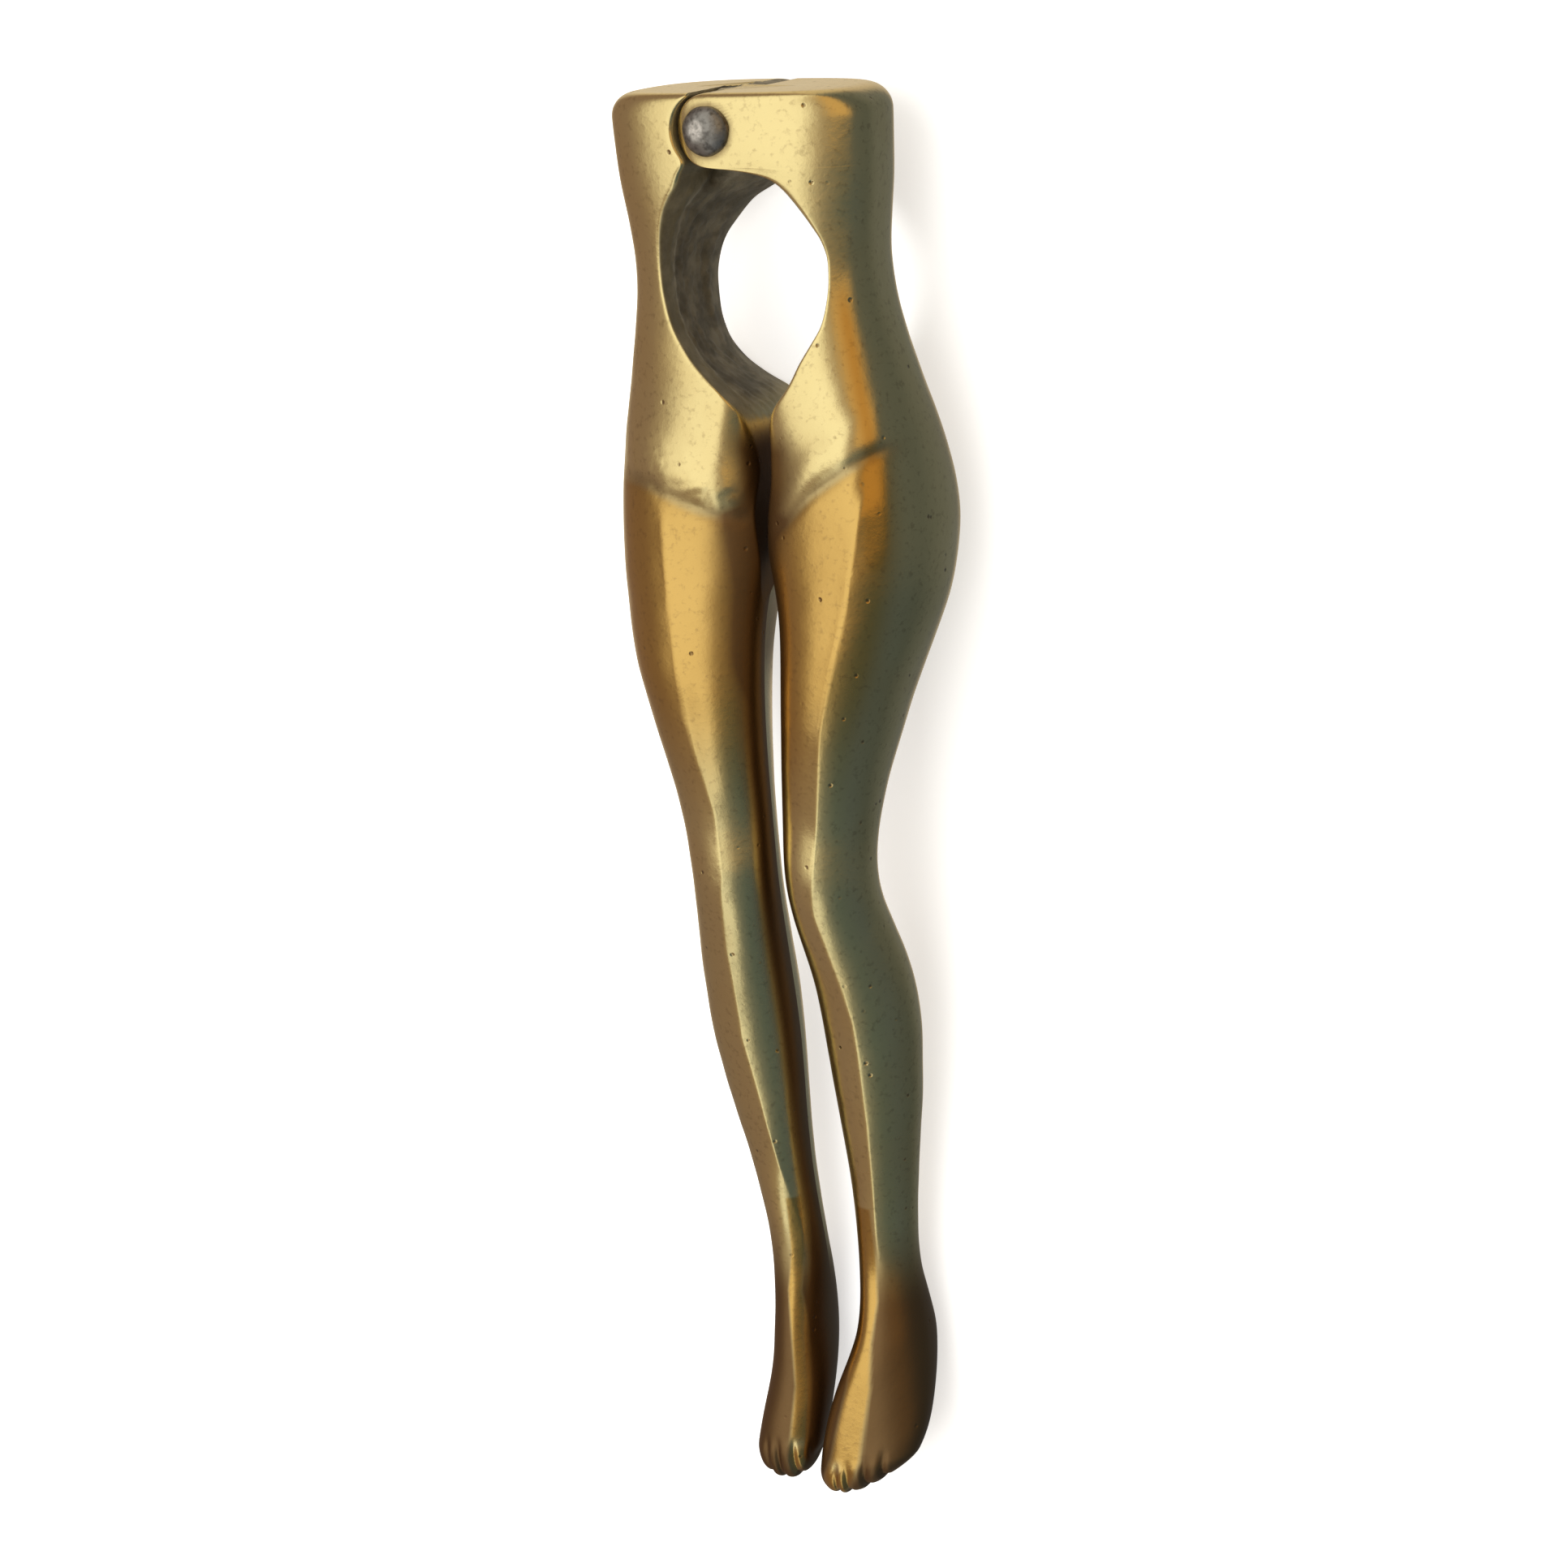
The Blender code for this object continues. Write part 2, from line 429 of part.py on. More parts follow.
def main():
    for old in list(bpy.data.objects):
        bpy.data.objects.remove(old)
    parts = bpy.data.collections.new("leg_nutcracker")
    cutters = bpy.data.collections.new("tools")
    bpy.context.scene.collection.children.link(parts)
    bpy.context.scene.collection.children.link(cutters)

    right_edges = (RIGHT_FRONT_EDGE, RIGHT_BACK_EDGE)
    left_edges = (LEFT_FRONT_EDGE, LEFT_BACK_EDGE)
    right = lever("right_lever", 1, RIGHT_SECTIONS, *right_edges, RIGHT_TIP_Y, RIGHT_TOE_SLANT, parts, cutters)
    left = lever("left_lever", -1, LEFT_SECTIONS, *left_edges, LEFT_TIP_Y, LEFT_TOE_SLANT, parts, cutters)
    pin = rivet(parts)
    for tool in cutters.objects:
        tool.hide_render = True
        tool.display_type = "WIRE"

    right.data.materials.append(material("right_lever_brass", (0.62, 0.44, 0.16), 1.0, 0.3))
    left.data.materials.append(material("left_lever_brass", (0.60, 0.42, 0.15), 1.0, 0.32))
    pin.data.materials.append(material("rivet_steel", (0.32, 0.31, 0.30), 1.0, 0.4))


main()
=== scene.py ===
"""A cast leg nutcracker: two brass levers crossed and riveted at the waist, lying on a pale floor.

Lengths inside the shape classes are millimetres of the drawing, in which the waist's middle plane is x = 0.
"""

import logging
import math
from dataclasses import dataclass
from enum import Enum

import bpy
import numpy as np
from mathutils import Matrix, Vector


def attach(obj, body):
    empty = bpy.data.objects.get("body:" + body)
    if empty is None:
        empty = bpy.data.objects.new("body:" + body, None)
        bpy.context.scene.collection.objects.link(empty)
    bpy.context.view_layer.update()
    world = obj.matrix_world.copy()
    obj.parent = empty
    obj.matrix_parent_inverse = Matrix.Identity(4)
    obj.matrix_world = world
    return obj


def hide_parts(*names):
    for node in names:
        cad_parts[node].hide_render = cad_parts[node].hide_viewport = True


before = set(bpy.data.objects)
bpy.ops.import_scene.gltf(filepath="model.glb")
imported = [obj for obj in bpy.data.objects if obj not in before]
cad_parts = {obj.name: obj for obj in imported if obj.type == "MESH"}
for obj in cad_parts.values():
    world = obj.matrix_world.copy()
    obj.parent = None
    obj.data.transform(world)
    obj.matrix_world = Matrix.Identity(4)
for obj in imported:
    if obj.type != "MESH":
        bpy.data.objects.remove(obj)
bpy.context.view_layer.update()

LOG = logging.getLogger("leg_nutcracker")
MM = 0.001
DRAWING_CENTRE = (0.9, 0.9, 0.0)  # the frame's origin, in mm of the drawing

Array = np.ndarray
Span = tuple[float, float]
Pairs = tuple[tuple[float, float], ...]
Colour = tuple[float, float, float]
Stops = tuple[tuple[float, Colour], ...]
Inputs = dict[str | int, object]
NodeOutput = bpy.types.NodeSocket


class Side(Enum):
    """The two levers, by the side on which they lie when seen from the front."""

    RIGHT = 1
    LEFT = -1


class Socket(Enum):
    """Kinds of node group socket."""

    FLOAT = "NodeSocketFloat"
    VECTOR = "NodeSocketVector"


# ---------------------------------------------------------------------------------------------------------
# Curves


def smoothstep(low: float, high: float, at: Array) -> Array:
    """Rises smoothly from 0 at low to 1 at high."""
    t = np.clip((at - low) / (high - low), 0, 1)
    return t * t * (3 - 2 * t)


def plateau(at: Array, rise: Span, fall: Span) -> Array:
    """Rises smoothly from 0 to 1 over the first span and falls back to 0 over the second."""
    return smoothstep(*rise, at) * (1 - smoothstep(*fall, at))


def bell(at: Array, centre: Array | float, width: float) -> Array:
    """A rounded bump of height 1 about centre."""
    return np.exp(-(((at - centre) / width) ** 2))


def line_at(pairs: Pairs, at: Array) -> Array:
    """Reads a broken line through (place, value) pairs, in falling order of place."""
    places, values = np.array(pairs[::-1]).T
    return np.interp(at, places, values)


def smooth_curve(knots: Array, values: Array, at: Array) -> Array:
    """Reads a natural cubic curve.

    Args:
        knots: Places of the known values, rising.
        values: The values there.
        at: Places to read.

    Returns:
        The curve's values at those places.
    """
    steps = np.diff(knots)
    count = len(knots)
    matrix = np.eye(count)
    bends = np.zeros(count)
    for i in range(1, count - 1):
        matrix[i, i - 1 : i + 2] = steps[i - 1], 2 * (steps[i - 1] + steps[i]), steps[i]
        rise_after = (values[i + 1] - values[i]) / steps[i]
        rise_before = (values[i] - values[i - 1]) / steps[i - 1]
        bends[i] = 6 * (rise_after - rise_before)
    second = np.linalg.solve(matrix, bends)
    k = np.clip(np.searchsorted(knots, at) - 1, 0, count - 2)
    t = at - knots[k]
    step = steps[k]
    slope = (values[k + 1] - values[k]) / step - step * (2 * second[k] + second[k + 1]) / 6
    cubic = t**3 * (second[k + 1] - second[k]) / (6 * step)
    return values[k] + t * slope + t**2 * second[k] / 2 + cubic


def steady_curve(points: Pairs, at: Array) -> Array:
    """Reads a curve that never overshoots its points: cubic pieces whose slopes are the harmonic means.

    Args:
        points: (place, value) pairs, in falling order of place.
        at: Places to read.

    Returns:
        The curve's values at those places.
    """
    knots, values = np.array(points[::-1]).T
    steps = np.diff(knots)
    rises = np.diff(values) / steps
    product = rises[:-1] * rises[1:]
    total = np.where(np.abs(rises[:-1] + rises[1:]) > 1e-9, rises[:-1] + rises[1:], 1.0)
    inner = np.where(product > 0, 2 * product / total, 0.0)
    slopes = np.concatenate([rises[:1], inner, rises[-1:]])
    k = np.clip(np.searchsorted(knots, at) - 1, 0, len(steps) - 1)
    step = steps[k]
    t = np.clip((at - knots[k]) / step, 0, 1)
    start = values[k] * (1 + 2 * t) * (1 - t) ** 2 + step * slopes[k] * t * (1 - t) ** 2
    end = values[k + 1] * t**2 * (3 - 2 * t) + step * slopes[k + 1] * t**2 * (t - 1)
    return start + end


def ripple(x: Array, y: Array, z: Array, scale: float, seed: int) -> Array:
    """A smooth random-looking field of about -1 to 1: a few sine waves in turned directions, added up.

    Args:
        x: Sideways places.
        y: Lengthways places.
        z: Heights.
        scale: The usual distance between two crests.
        seed: Picks the directions and phases.

    Returns:
        The field at those points.
    """
    waves = 7
    random = np.random.default_rng(seed)
    total = np.zeros_like(x)
    for _ in range(waves):
        direction = random.normal(size=3)
        direction *= 2 * math.pi / (scale * random.uniform(0.7, 1.5) * np.linalg.norm(direction))
        phase = random.uniform(0, 6.28)
        total = total + np.sin(direction[0] * x + direction[1] * y + direction[2] * z + phase)
    return total / (waves / 2)


# ---------------------------------------------------------------------------------------------------------
# The levers' shape


@dataclass(frozen=True)
class Sections:
    """Cross-sections of a lever from the waist to the toes, one tuple each.

    Columns: place along the tool, middle plane, inner side, outer side, back, front, widest heights of the
    outer and the inner side, front crest, back crest, then the fullness of the quarters front-inner,
    front-outer, back-outer and back-inner.
    """

    rows: tuple[tuple[float, ...], ...]

    NAMES = (
        ("middle", "inner", "outer", "back", "front", "side", "inner_side", "front_crest", "back_crest")
        + ("front_inner", "front_outer", "back_outer", "back_inner")
    )

    def at(self, y: Array) -> dict[str, Array]:
        """The cross-section values by name, at every place in y."""
        table = np.array(self.rows[::-1])
        return {n: smooth_curve(table[:, 0], table[:, i + 1], y) for i, n in enumerate(self.NAMES)}


RIGHT_SECTIONS = Sections(
    (
        (64.4, 0.0, -6.0, 12.4, 3.4, 18.15, 12.4, 12.4, 0.0, 0.0, 2.8, 2.8, 2.8, 2.8),
        (56.5, 0.2, -5.0, 11.9, 3.6, 18.1, 12.0, 12.0, 0.3, 0.3, 2.8, 2.8, 2.8, 2.8),
        (49.8, 0.4, -3.5, 11.1, 3.7, 17.5, 11.5, 11.5, 2.0, 1.0, 2.7, 2.8, 2.7, 2.6),
        (42.8, 0.7, -1.8, 12.0, 3.0, 17.6, 11.0, 11.2, 4.6, 2.4, 2.8, 2.5, 2.4, 2.4),
        (35.8, 1.0, -0.3, 13.7, 1.2, 18.1, 10.3, 11.8, 7.8, 4.6, 2.6, 2.3, 2.2, 2.1),
        (27.8, 1.2, -0.4, 14.5, 0.0, 18.6, 9.4, 13.6, 9.2, 7.0, 2.0, 2.2, 2.1, 1.9),
        (20.8, 1.0, 1.2, 14.0, 1.3, 19.0, 10.2, 14.8, 8.8, 7.1, 2.0, 2.0, 2.0, 1.6),
        (14.8, 0.5, 1.9, 12.6, 3.6, 19.2, 11.8, 15.2, 7.7, 7.1, 2.0, 2.0, 2.0, 1.6),
        (7.8, 0.2, 1.7, 10.6, 6.3, 18.6, 12.5, 14.8, 6.5, 6.0, 2.0, 2.0, 2.0, 1.8),
        (0.8, 0.0, 1.25, 9.1, 8.0, 17.5, 12.8, 14.0, 5.4, 5.0, 2.0, 2.0, 2.0, 1.9),
        (-4.2, 0.0, 1.2, 8.8, 8.2, 17.2, 12.7, 13.6, 4.9, 4.7, 2.0, 2.0, 2.0, 2.0),
        (-8.7, 0.0, 1.35, 9.3, 6.4, 15.8, 11.0, 12.0, 5.2, 5.1, 2.0, 1.9, 2.0, 2.0),
        (-13.2, 0.0, 1.65, 9.9, 4.4, 14.2, 9.2, 10.4, 5.9, 5.6, 1.9, 1.8, 2.0, 2.0),
        (-20.2, 0.0, 1.75, 9.8, 3.0, 12.2, 7.6, 8.6, 6.1, 5.6, 1.9, 1.8, 2.0, 2.0),
        (-28.2, 0.2, 2.0, 8.7, 2.8, 10.4, 6.6, 7.4, 5.6, 5.4, 1.9, 1.8, 2.0, 2.0),
        (-35.2, 0.4, 2.0, 7.5, 2.6, 8.9, 5.7, 6.2, 4.7, 4.7, 1.9, 1.9, 2.0, 2.0),
        (-42.2, 0.4, 1.9, 7.2, 1.4, 8.3, 4.9, 5.1, 4.2, 4.2, 2.0, 2.0, 2.0, 2.0),
        (-47.7, 0.0, 1.8, 8.4, 0.0, 9.2, 4.9, 4.9, 4.2, 4.6, 2.0, 2.0, 2.1, 2.1),
        (-52.7, -1.0, 1.0, 9.6, 0.9, 9.9, 5.6, 5.6, 3.8, 4.9, 2.1, 2.1, 2.1, 2.1),
        (-57.7, -1.6, 0.3, 10.0, 3.0, 10.2, 6.8, 6.8, 3.6, 4.8, 2.2, 2.2, 2.2, 2.2),
        (-63.5, -2.0, 0.3, 9.0, 5.6, 10.6, 8.2, 8.2, 3.6, 4.4, 2.2, 2.2, 2.2, 2.2),
    )
)
LEFT_SECTIONS = Sections(
    (
        (64.4, 0.0, -6.0, 11.8, 3.4, 18.15, 12.4, 12.4, 0.0, 0.0, 2.8, 2.8, 2.8, 2.8),
        (56.5, 0.2, -5.0, 11.5, 3.6, 18.1, 12.0, 12.0, 0.3, 0.3, 2.8, 2.8, 2.8, 2.8),
        (49.8, 0.4, -3.5, 11.1, 3.7, 17.5, 11.5, 11.5, 1.0, 1.0, 2.7, 2.6, 2.7, 2.6),
        (42.8, 0.7, -1.8, 12.3, 3.0, 17.6, 11.0, 11.2, 1.8, 2.4, 2.8, 2.4, 2.4, 2.4),
        (35.8, 1.0, -0.3, 14.1, 1.2, 18.1, 10.3, 11.8, 3.6, 4.6, 2.8, 2.2, 2.2, 2.1),
        (27.8, 1.2, -0.4, 15.2, 0.0, 18.6, 9.4, 13.6, 6.6, 7.0, 2.3, 2.1, 2.1, 1.9),
        (20.8, 1.0, 0.3, 14.8, 1.3, 19.0, 10.2, 14.8, 7.1, 7.1, 2.2, 1.9, 2.0, 1.5),
        (14.8, 0.5, 0.3, 13.0, 3.6, 19.2, 11.8, 15.2, 6.3, 7.1, 2.2, 1.9, 2.0, 1.5),
        (7.8, 0.2, 0.3, 10.6, 6.3, 18.6, 12.5, 14.8, 5.1, 6.0, 2.2, 1.9, 2.0, 1.6),
        (0.8, 0.0, 0.3, 8.8, 8.0, 17.5, 12.8, 14.0, 4.1, 5.0, 2.1, 1.9, 2.0, 1.8),
        (-4.2, 0.0, 0.35, 8.3, 8.2, 17.2, 12.7, 13.6, 4.0, 4.6, 2.1, 1.9, 2.0, 2.0),
        (-8.7, 0.0, 0.8, 8.9, 6.4, 15.8, 11.0, 12.0, 4.5, 5.0, 2.1, 1.9, 2.0, 2.0),
        (-13.2, 0.0, 1.2, 9.7, 4.4, 14.2, 9.2, 10.4, 5.0, 5.5, 2.0, 1.8, 2.0, 2.0),
        (-20.2, 0.0, 1.5, 9.8, 3.0, 12.2, 7.6, 8.6, 5.0, 5.6, 2.0, 1.8, 2.0, 2.0),
        (-28.2, 0.2, 2.0, 8.7, 2.8, 10.4, 6.6, 7.4, 4.3, 5.4, 2.0, 1.8, 2.0, 2.0),
        (-35.2, 0.4, 2.2, 7.4, 2.6, 8.9, 5.7, 6.2, 4.7, 4.7, 1.9, 1.9, 2.0, 2.0),
        (-42.2, 0.4, 1.9, 6.9, 1.6, 8.3, 4.9, 5.1, 4.2, 4.2, 2.0, 2.0, 2.0, 2.0),
        (-47.7, 0.2, 1.9, 6.8, 0.0, 8.7, 4.7, 4.7, 4.0, 4.4, 2.0, 2.0, 2.1, 2.1),
        (-52.7, -0.9, 0.6, 6.1, 1.2, 9.2, 5.6, 5.6, 3.0, 3.4, 2.1, 2.1, 2.1, 2.1),
        (-57.7, -1.6, 0.3, 6.3, 3.0, 9.8, 6.8, 6.8, 3.0, 3.4, 2.2, 2.2, 2.2, 2.2),
        (-61.9, -2.0, 0.3, 6.2, 5.0, 10.0, 7.8, 7.8, 3.2, 3.6, 2.2, 2.2, 2.2, 2.2),
    )
)


@dataclass(frozen=True)
class Waist:
    """The sizes round the rivet and at the waist's flat top, the same for both levers.

    Attributes:
        rivet_x: Sideways place of the rivet.
        rivet_y: Lengthways place of the rivet.
        ear_radius: Radius of the ears round the rivet.
        split_z: Height at which the front and the back ear meet.
        gap: Running gap between the ears, and round them.
        top_y: Place of the flat top.
        top_rounding: Radius of the flat top's front and back edges.
        top_side_height: How far down the top's outer corners are rounded.
        top_side_rounding: How far in they are rounded.
        wall_steps: Where the inner wall turns from plain to stepped.
    """

    rivet_x: float = -0.7
    rivet_y: float = 61.3
    ear_radius: float = 3.1
    split_z: float = 11.0
    gap: float = 0.25
    top_y: float = 64.4
    top_rounding: float = 0.8
    top_side_height: float = 2.2
    top_side_rounding: float = 2.6
    wall_steps: Span = (55.2, 57.6)

    def circle(self, y: Array, radius: float, towards: int) -> Array:
        """Sideways place of a circle round the rivet, on the side given by towards, at the places in y."""
        reach = np.sqrt(np.clip(radius**2 - (y - self.rivet_y) ** 2, 0, None))
        return self.rivet_x + towards * reach

    def drawn_in(self, y: Array, height: float) -> Array:
        """How far a quarter round of that height, just under the flat top, has drawn in: 0 to 1."""
        over = np.clip(y - self.top_y + height, 0, None) / height
        return 1 - np.sqrt(1 - over**2)


WAIST = Waist()


@dataclass(frozen=True)
class Hollow:
    """The cast wall of the nut's hollow, with a lip at each end of it and a shallow channel between them.

    Attributes:
        foot: Where the channel starts along the tool.
        head: Where it ends.
        channel_rise: Where the channel starts across the wall, as shares of the way from back to front.
        channel_fall: Where it ends.
        channel_depth: Its depth.
        lip: Where the front lip starts, as shares.
        lip_line: Middle of the painted highlight line between channel and lip, as a share, and half its
            width.
        dark_from: Where the dark lining starts along the tool.
        edge_ends: Where the lining stops showing on the very edge.
        lip_paleness: How much of the lining the lip loses, as painted light that sets the lip apart from the
            channel.
        edge_darkness: How much of the lining the edge shows.
    """

    foot: Span = (38.5, 41.5)
    head: Span = (55.0, 57.5)
    channel_rise: Span = (0.2, 0.27)
    channel_fall: Span = (0.74, 0.8)
    channel_depth: float = 0.4
    lip: Span = (0.72, 0.75)
    lip_line: Span = (0.735, 0.02)
    dark_from: Span = (36.0, 38.5)
    edge_ends: Span = (56.0, 57.5)
    lip_paleness: float = 0.16
    edge_darkness: float = 0.8

    def channel(self, y: Array, across: Array) -> Array:
        """Depth of the channel at places along the tool and shares of the way across the wall."""
        channel = self.channel_depth * plateau(across, self.channel_rise, self.channel_fall)
        return channel * plateau(y, self.foot, self.head)


HOLLOW = Hollow()


@dataclass(frozen=True)
class InnerEdge:
    """The line in which a lever's inner wall meets its front or its back, with or without an ear at the top.

    Attributes:
        has_ear: True where this half of the lever carries an ear, and False where it makes room for one.
        shoulder: Sideways place of the edge above the ear's recess.
        joins: Place along the tool at which the circle round the rivet ends.
        points: The line below, as (y, x) pairs.
    """

    has_ear: bool
    shoulder: float
    joins: float
    points: Pairs

    def at(self, y: Array, side: Side) -> Array:
        """Reads the edge: the circle round the rivet above, and the drawn line below.

        Args:
            y: Places along the tool.
            side: The lever's side.

        Returns:
            The edge's sideways places.
        """
        below = steady_curve(self.points, np.minimum(y, self.joins))
        if self.has_ear:
            round_rivet = WAIST.circle(y, WAIST.ear_radius, -side.value)
        else:
            recess = side.value * WAIST.circle(y, WAIST.ear_radius + WAIST.gap, side.value)
            bounded = np.maximum(recess, side.value * self.shoulder)
            round_rivet = side.value * np.where(y > WAIST.rivet_y, bounded, recess)
        return np.where(y > self.joins, round_rivet, below)


RIGHT_FRONT = InnerEdge(
    has_ear=True,
    shoulder=0.0,
    joins=58.45,
    points=(
        ((58.45, -1.93), (58.27, -1.2), (58.12, 0.3), (57.95, 1.8), (57.7, 3.2), (57.4, 4.25))
        + ((57.0, 5.0), (56.5, 5.6), (55.85, 6.24), (54.5, 7.22), (53.2, 8.0), (51.9, 8.65))
        + ((50.2, 9.0), (48.7, 8.98), (47.0, 8.8), (45.0, 8.35), (43.5, 7.5), (41.65, 6.3))
        + ((40.5, 5.68), (39.4, 4.9), (38.3, 3.9), (37.2, 3.2), (36.0, 2.95), (34.0, 2.9))
        + ((32.0, 2.85), (28.6, 2.2), (25.1, 1.75), (22.0, 1.4), (19.0, 1.2))
    ),
)
RIGHT_BACK = InnerEdge(
    has_ear=False,
    shoulder=1.1,
    joins=59.5,
    points=(
        ((59.5, 2.13), (58.8, 1.98), (57.8, 1.98), (56.8, 2.25), (56.0, 2.75), (55.2, 3.45))
        + ((54.3, 4.5), (52.7, 6.1), (51.0, 7.3), (49.5, 8.0), (47.5, 8.4), (44.8, 8.3))
        + ((42.5, 7.65), (40.4, 6.3), (38.9, 4.8), (37.4, 2.9), (36.5, 2.4), (35.0, 2.3))
        + ((32.0, 2.1), (28.0, 1.75), (24.0, 1.5), (19.0, 1.2))
    ),
)
LEFT_FRONT = InnerEdge(
    has_ear=False,
    shoulder=-2.5,
    joins=59.2,
    points=(
        ((59.2, -3.31), (58.8, -3.08), (58.5, -3.06), (58.2, -3.22), (57.83, -3.48), (57.3, -3.7))
        + ((56.85, -3.86), (56.4, -4.15), (55.87, -4.62), (54.4, -5.49), (52.8, -6.0), (51.2, -6.26))
        + ((49.6, -6.37), (48.1, -6.3), (46.5, -6.01), (44.9, -5.48), (43.2, -4.5), (41.65, -3.32))
        + ((40.3, -1.98), (39.0, -0.67), (38.3, 0.0), (37.5, 0.45), (35.45, 0.8), (32.0, 1.1))
        + ((28.6, 0.9), (25.1, 1.0), (22.0, 0.8), (19.0, 0.6))
    ),
)
LEFT_BACK = InnerEdge(
    has_ear=True,
    shoulder=0.0,
    joins=59.6,
    points=(
        ((59.6, 1.89), (58.6, 1.25), (57.5, 0.75), (56.6, 0.1), (55.9, -0.75), (55.34, -1.69))
        + ((54.33, -3.51), (52.7, -5.06), (51.0, -6.31), (49.55, -6.85), (47.5, -7.2), (44.8, -7.25))
        + ((42.5, -6.95), (40.4, -5.9), (38.9, -4.3), (37.4, -1.9), (36.3, -0.5), (35.0, -0.2))
        + ((32.0, 0.1), (28.0, 0.5), (24.0, 0.7), (19.0, 0.6))
    ),
)


@dataclass(frozen=True)
class Groin:
    """The crease between belly and thigh, the soft swelling above it and the rough casting about it.

    Attributes:
        line: The crease, as (x, y) pairs from left to right.
        roughness: Height of the rough casting.
        shade: How strongly painted shade darkens the thigh beside the gap.
        fade: Length over which the crease dies out past its ends.
        depth: Depth of the crease.
        width: Half its width.
        swelling: Height of the swelling.
        swelling_above: How far above the crease it lies.
        swelling_width: Half its width.
        rough_above: Where the rough casting starts, above the crease.
        rough_below: Where it ends, below the crease.
    """

    line: Pairs
    roughness: float
    shade: float
    fade: float = 3.0
    depth: float = 0.17
    width: float = 0.7
    swelling: float = 0.26
    swelling_above: float = 2.4
    swelling_width: float = 1.9
    rough_above: Span = (-5.0, -1.5)
    rough_below: Span = (0.2, 1.2)

    def below(self, x: Array, y: Array) -> Array:
        """How far the points lie below the crease."""
        line_x, line_y = np.array(self.line).T
        return np.interp(x, line_x, line_y) - y

    def reach(self, x: Array) -> Array:
        """1 over the crease's length, falling to 0 past its ends."""
        first, last = self.line[0][0], self.line[-1][0]
        return plateau(x, (first - self.fade, first), (last, last + self.fade))


@dataclass(frozen=True)
class Foot:
    """The end of a foot, its toes, and a stripe of painted warm reflection along the instep.

    Attributes:
        tip_y: Place along the tool at which the foot closes.
        slant: How far the toes' ends lie back for each mm outwards.
        grooves: Sideways places of the grooves between the toes, a little above the tip.
        splay: How far the grooves drift sideways for each mm up the foot.
        stripe: The painted stripe's middle, as (y, x) pairs.
        stripe_width: Half the stripe's width.
        nail: Place of the big toe's nail, where a highlight is painted, as (x, y).
        rounding: Length over which the tip closes.
        slanted: Length over which the slant comes in.
        groove_depth: Depth of a groove.
        groove_width: Half its width.
        pad_height: Height of a toe's pad.
        pad_width: Half its width.
        pad_beside: Its distance from the groove.
        nail_radius: Radius of the nail's painted highlight.
    """

    tip_y: float
    slant: float
    grooves: tuple[float, ...]
    splay: float
    stripe: Pairs
    stripe_width: float
    nail: tuple[float, float]
    rounding: float = 3.4
    slanted: float = 14.0
    groove_depth: float = 0.26
    groove_width: float = 0.24
    pad_height: float = 0.06
    pad_width: float = 0.4
    pad_beside: float = 0.75
    nail_radius: float = 0.55

    def closing(self, y: Array) -> Array:
        """The share of a cross-section's size that is left at the rounded tip."""
        into_tip = np.clip((self.tip_y + self.rounding - y) / self.rounding, 0, 1)
        return np.sqrt(1 - into_tip**2)

    def lean(self, y: Array, w: Array) -> Array:
        """How far the points at a distance w outwards move up the foot for the toes' slant."""
        coming = np.clip((self.tip_y + self.slanted - y) / self.slanted, 0, 1) ** 2
        return coming * self.slant * (w - 1.0)

    def toes(self, x: Array, y: Array, up: Array) -> Array:
        """Works out the grooves between the toes and the rounder pads beside them.

        Args:
            x: Sideways places.
            y: Lengthways places.
            up: The upward part of the outward normals.

        Returns:
            Heights to add along the normals.
        """
        upper = smoothstep(-0.75, 0.1, up)
        near = 1 - smoothstep(self.tip_y + 3.4, self.tip_y + 7.0, y)
        forms = np.zeros(x.shape)
        for place in self.grooves:
            line = place + (y - self.tip_y - 3.0) * self.splay
            start = self.tip_y + self.slant * (place - 1.0)
            reach = 1 - smoothstep(start + 2.6, start + 4.8, y)
            forms -= self.groove_depth * bell(x, line, self.groove_width) * upper * reach
            forms += self.pad_height * bell(x, line - self.pad_beside, self.pad_width) * upper * reach * near
        return forms

    def reflection_stripe(self, x: Array, y: Array) -> Array:
        """1 on the stripe of painted reflection, which widens towards the toes, and 0 away from it."""
        half_width = self.stripe_width * np.interp(y, (-60, -42), (1.3, 0.7))
        return 1 - smoothstep(0.75, 1.25, np.abs(x - line_at(self.stripe, y)) / half_width)

    def nail_highlight(self, x: Array, y: Array) -> Array:
        """1 on the big toe's painted highlight and 0 away from it."""
        return bell(np.hypot(x - self.nail[0], y - self.nail[1]), 0.0, self.nail_radius)


@dataclass(frozen=True)
class LeverShape:
    """Everything that tells one lever's surface from the other's.

    Attributes:
        side: The side on which it lies when seen from the front.
        sections: The cross-sections.
        front_edge: The inner wall's edge in front.
        back_edge: The inner wall's edge at the back.
        foot: The end of the foot.
        groin: The crease between belly and thigh.
        ridge: The ridge down thigh and shin, as (y, x) pairs.
        hip_streak: How strong the painted warm reflection down the hip is.
        ridge_height: Height of the ridge.
        ridge_width: Half its width.
    """

    side: Side
    sections: Sections
    front_edge: InnerEdge
    back_edge: InnerEdge
    foot: Foot
    groin: Groin
    ridge: Pairs
    hip_streak: float
    ridge_height: float = 0.2
    ridge_width: float = 0.75

    def ridge_form(self, x: Array, y: Array) -> Array:
        """Works out the ridge, which is sharp on top and dies out past its ends.

        Args:
            x: Sideways places.
            y: Lengthways places.

        Returns:
            Heights to add along the normals.
        """
        last, first = self.ridge[-1][0], self.ridge[0][0]
        sharp = np.exp(-np.abs(x - line_at(self.ridge, y)) / self.ridge_width)
        return self.ridge_height * sharp * plateau(y, (last - 4, last), (first - 3, first))


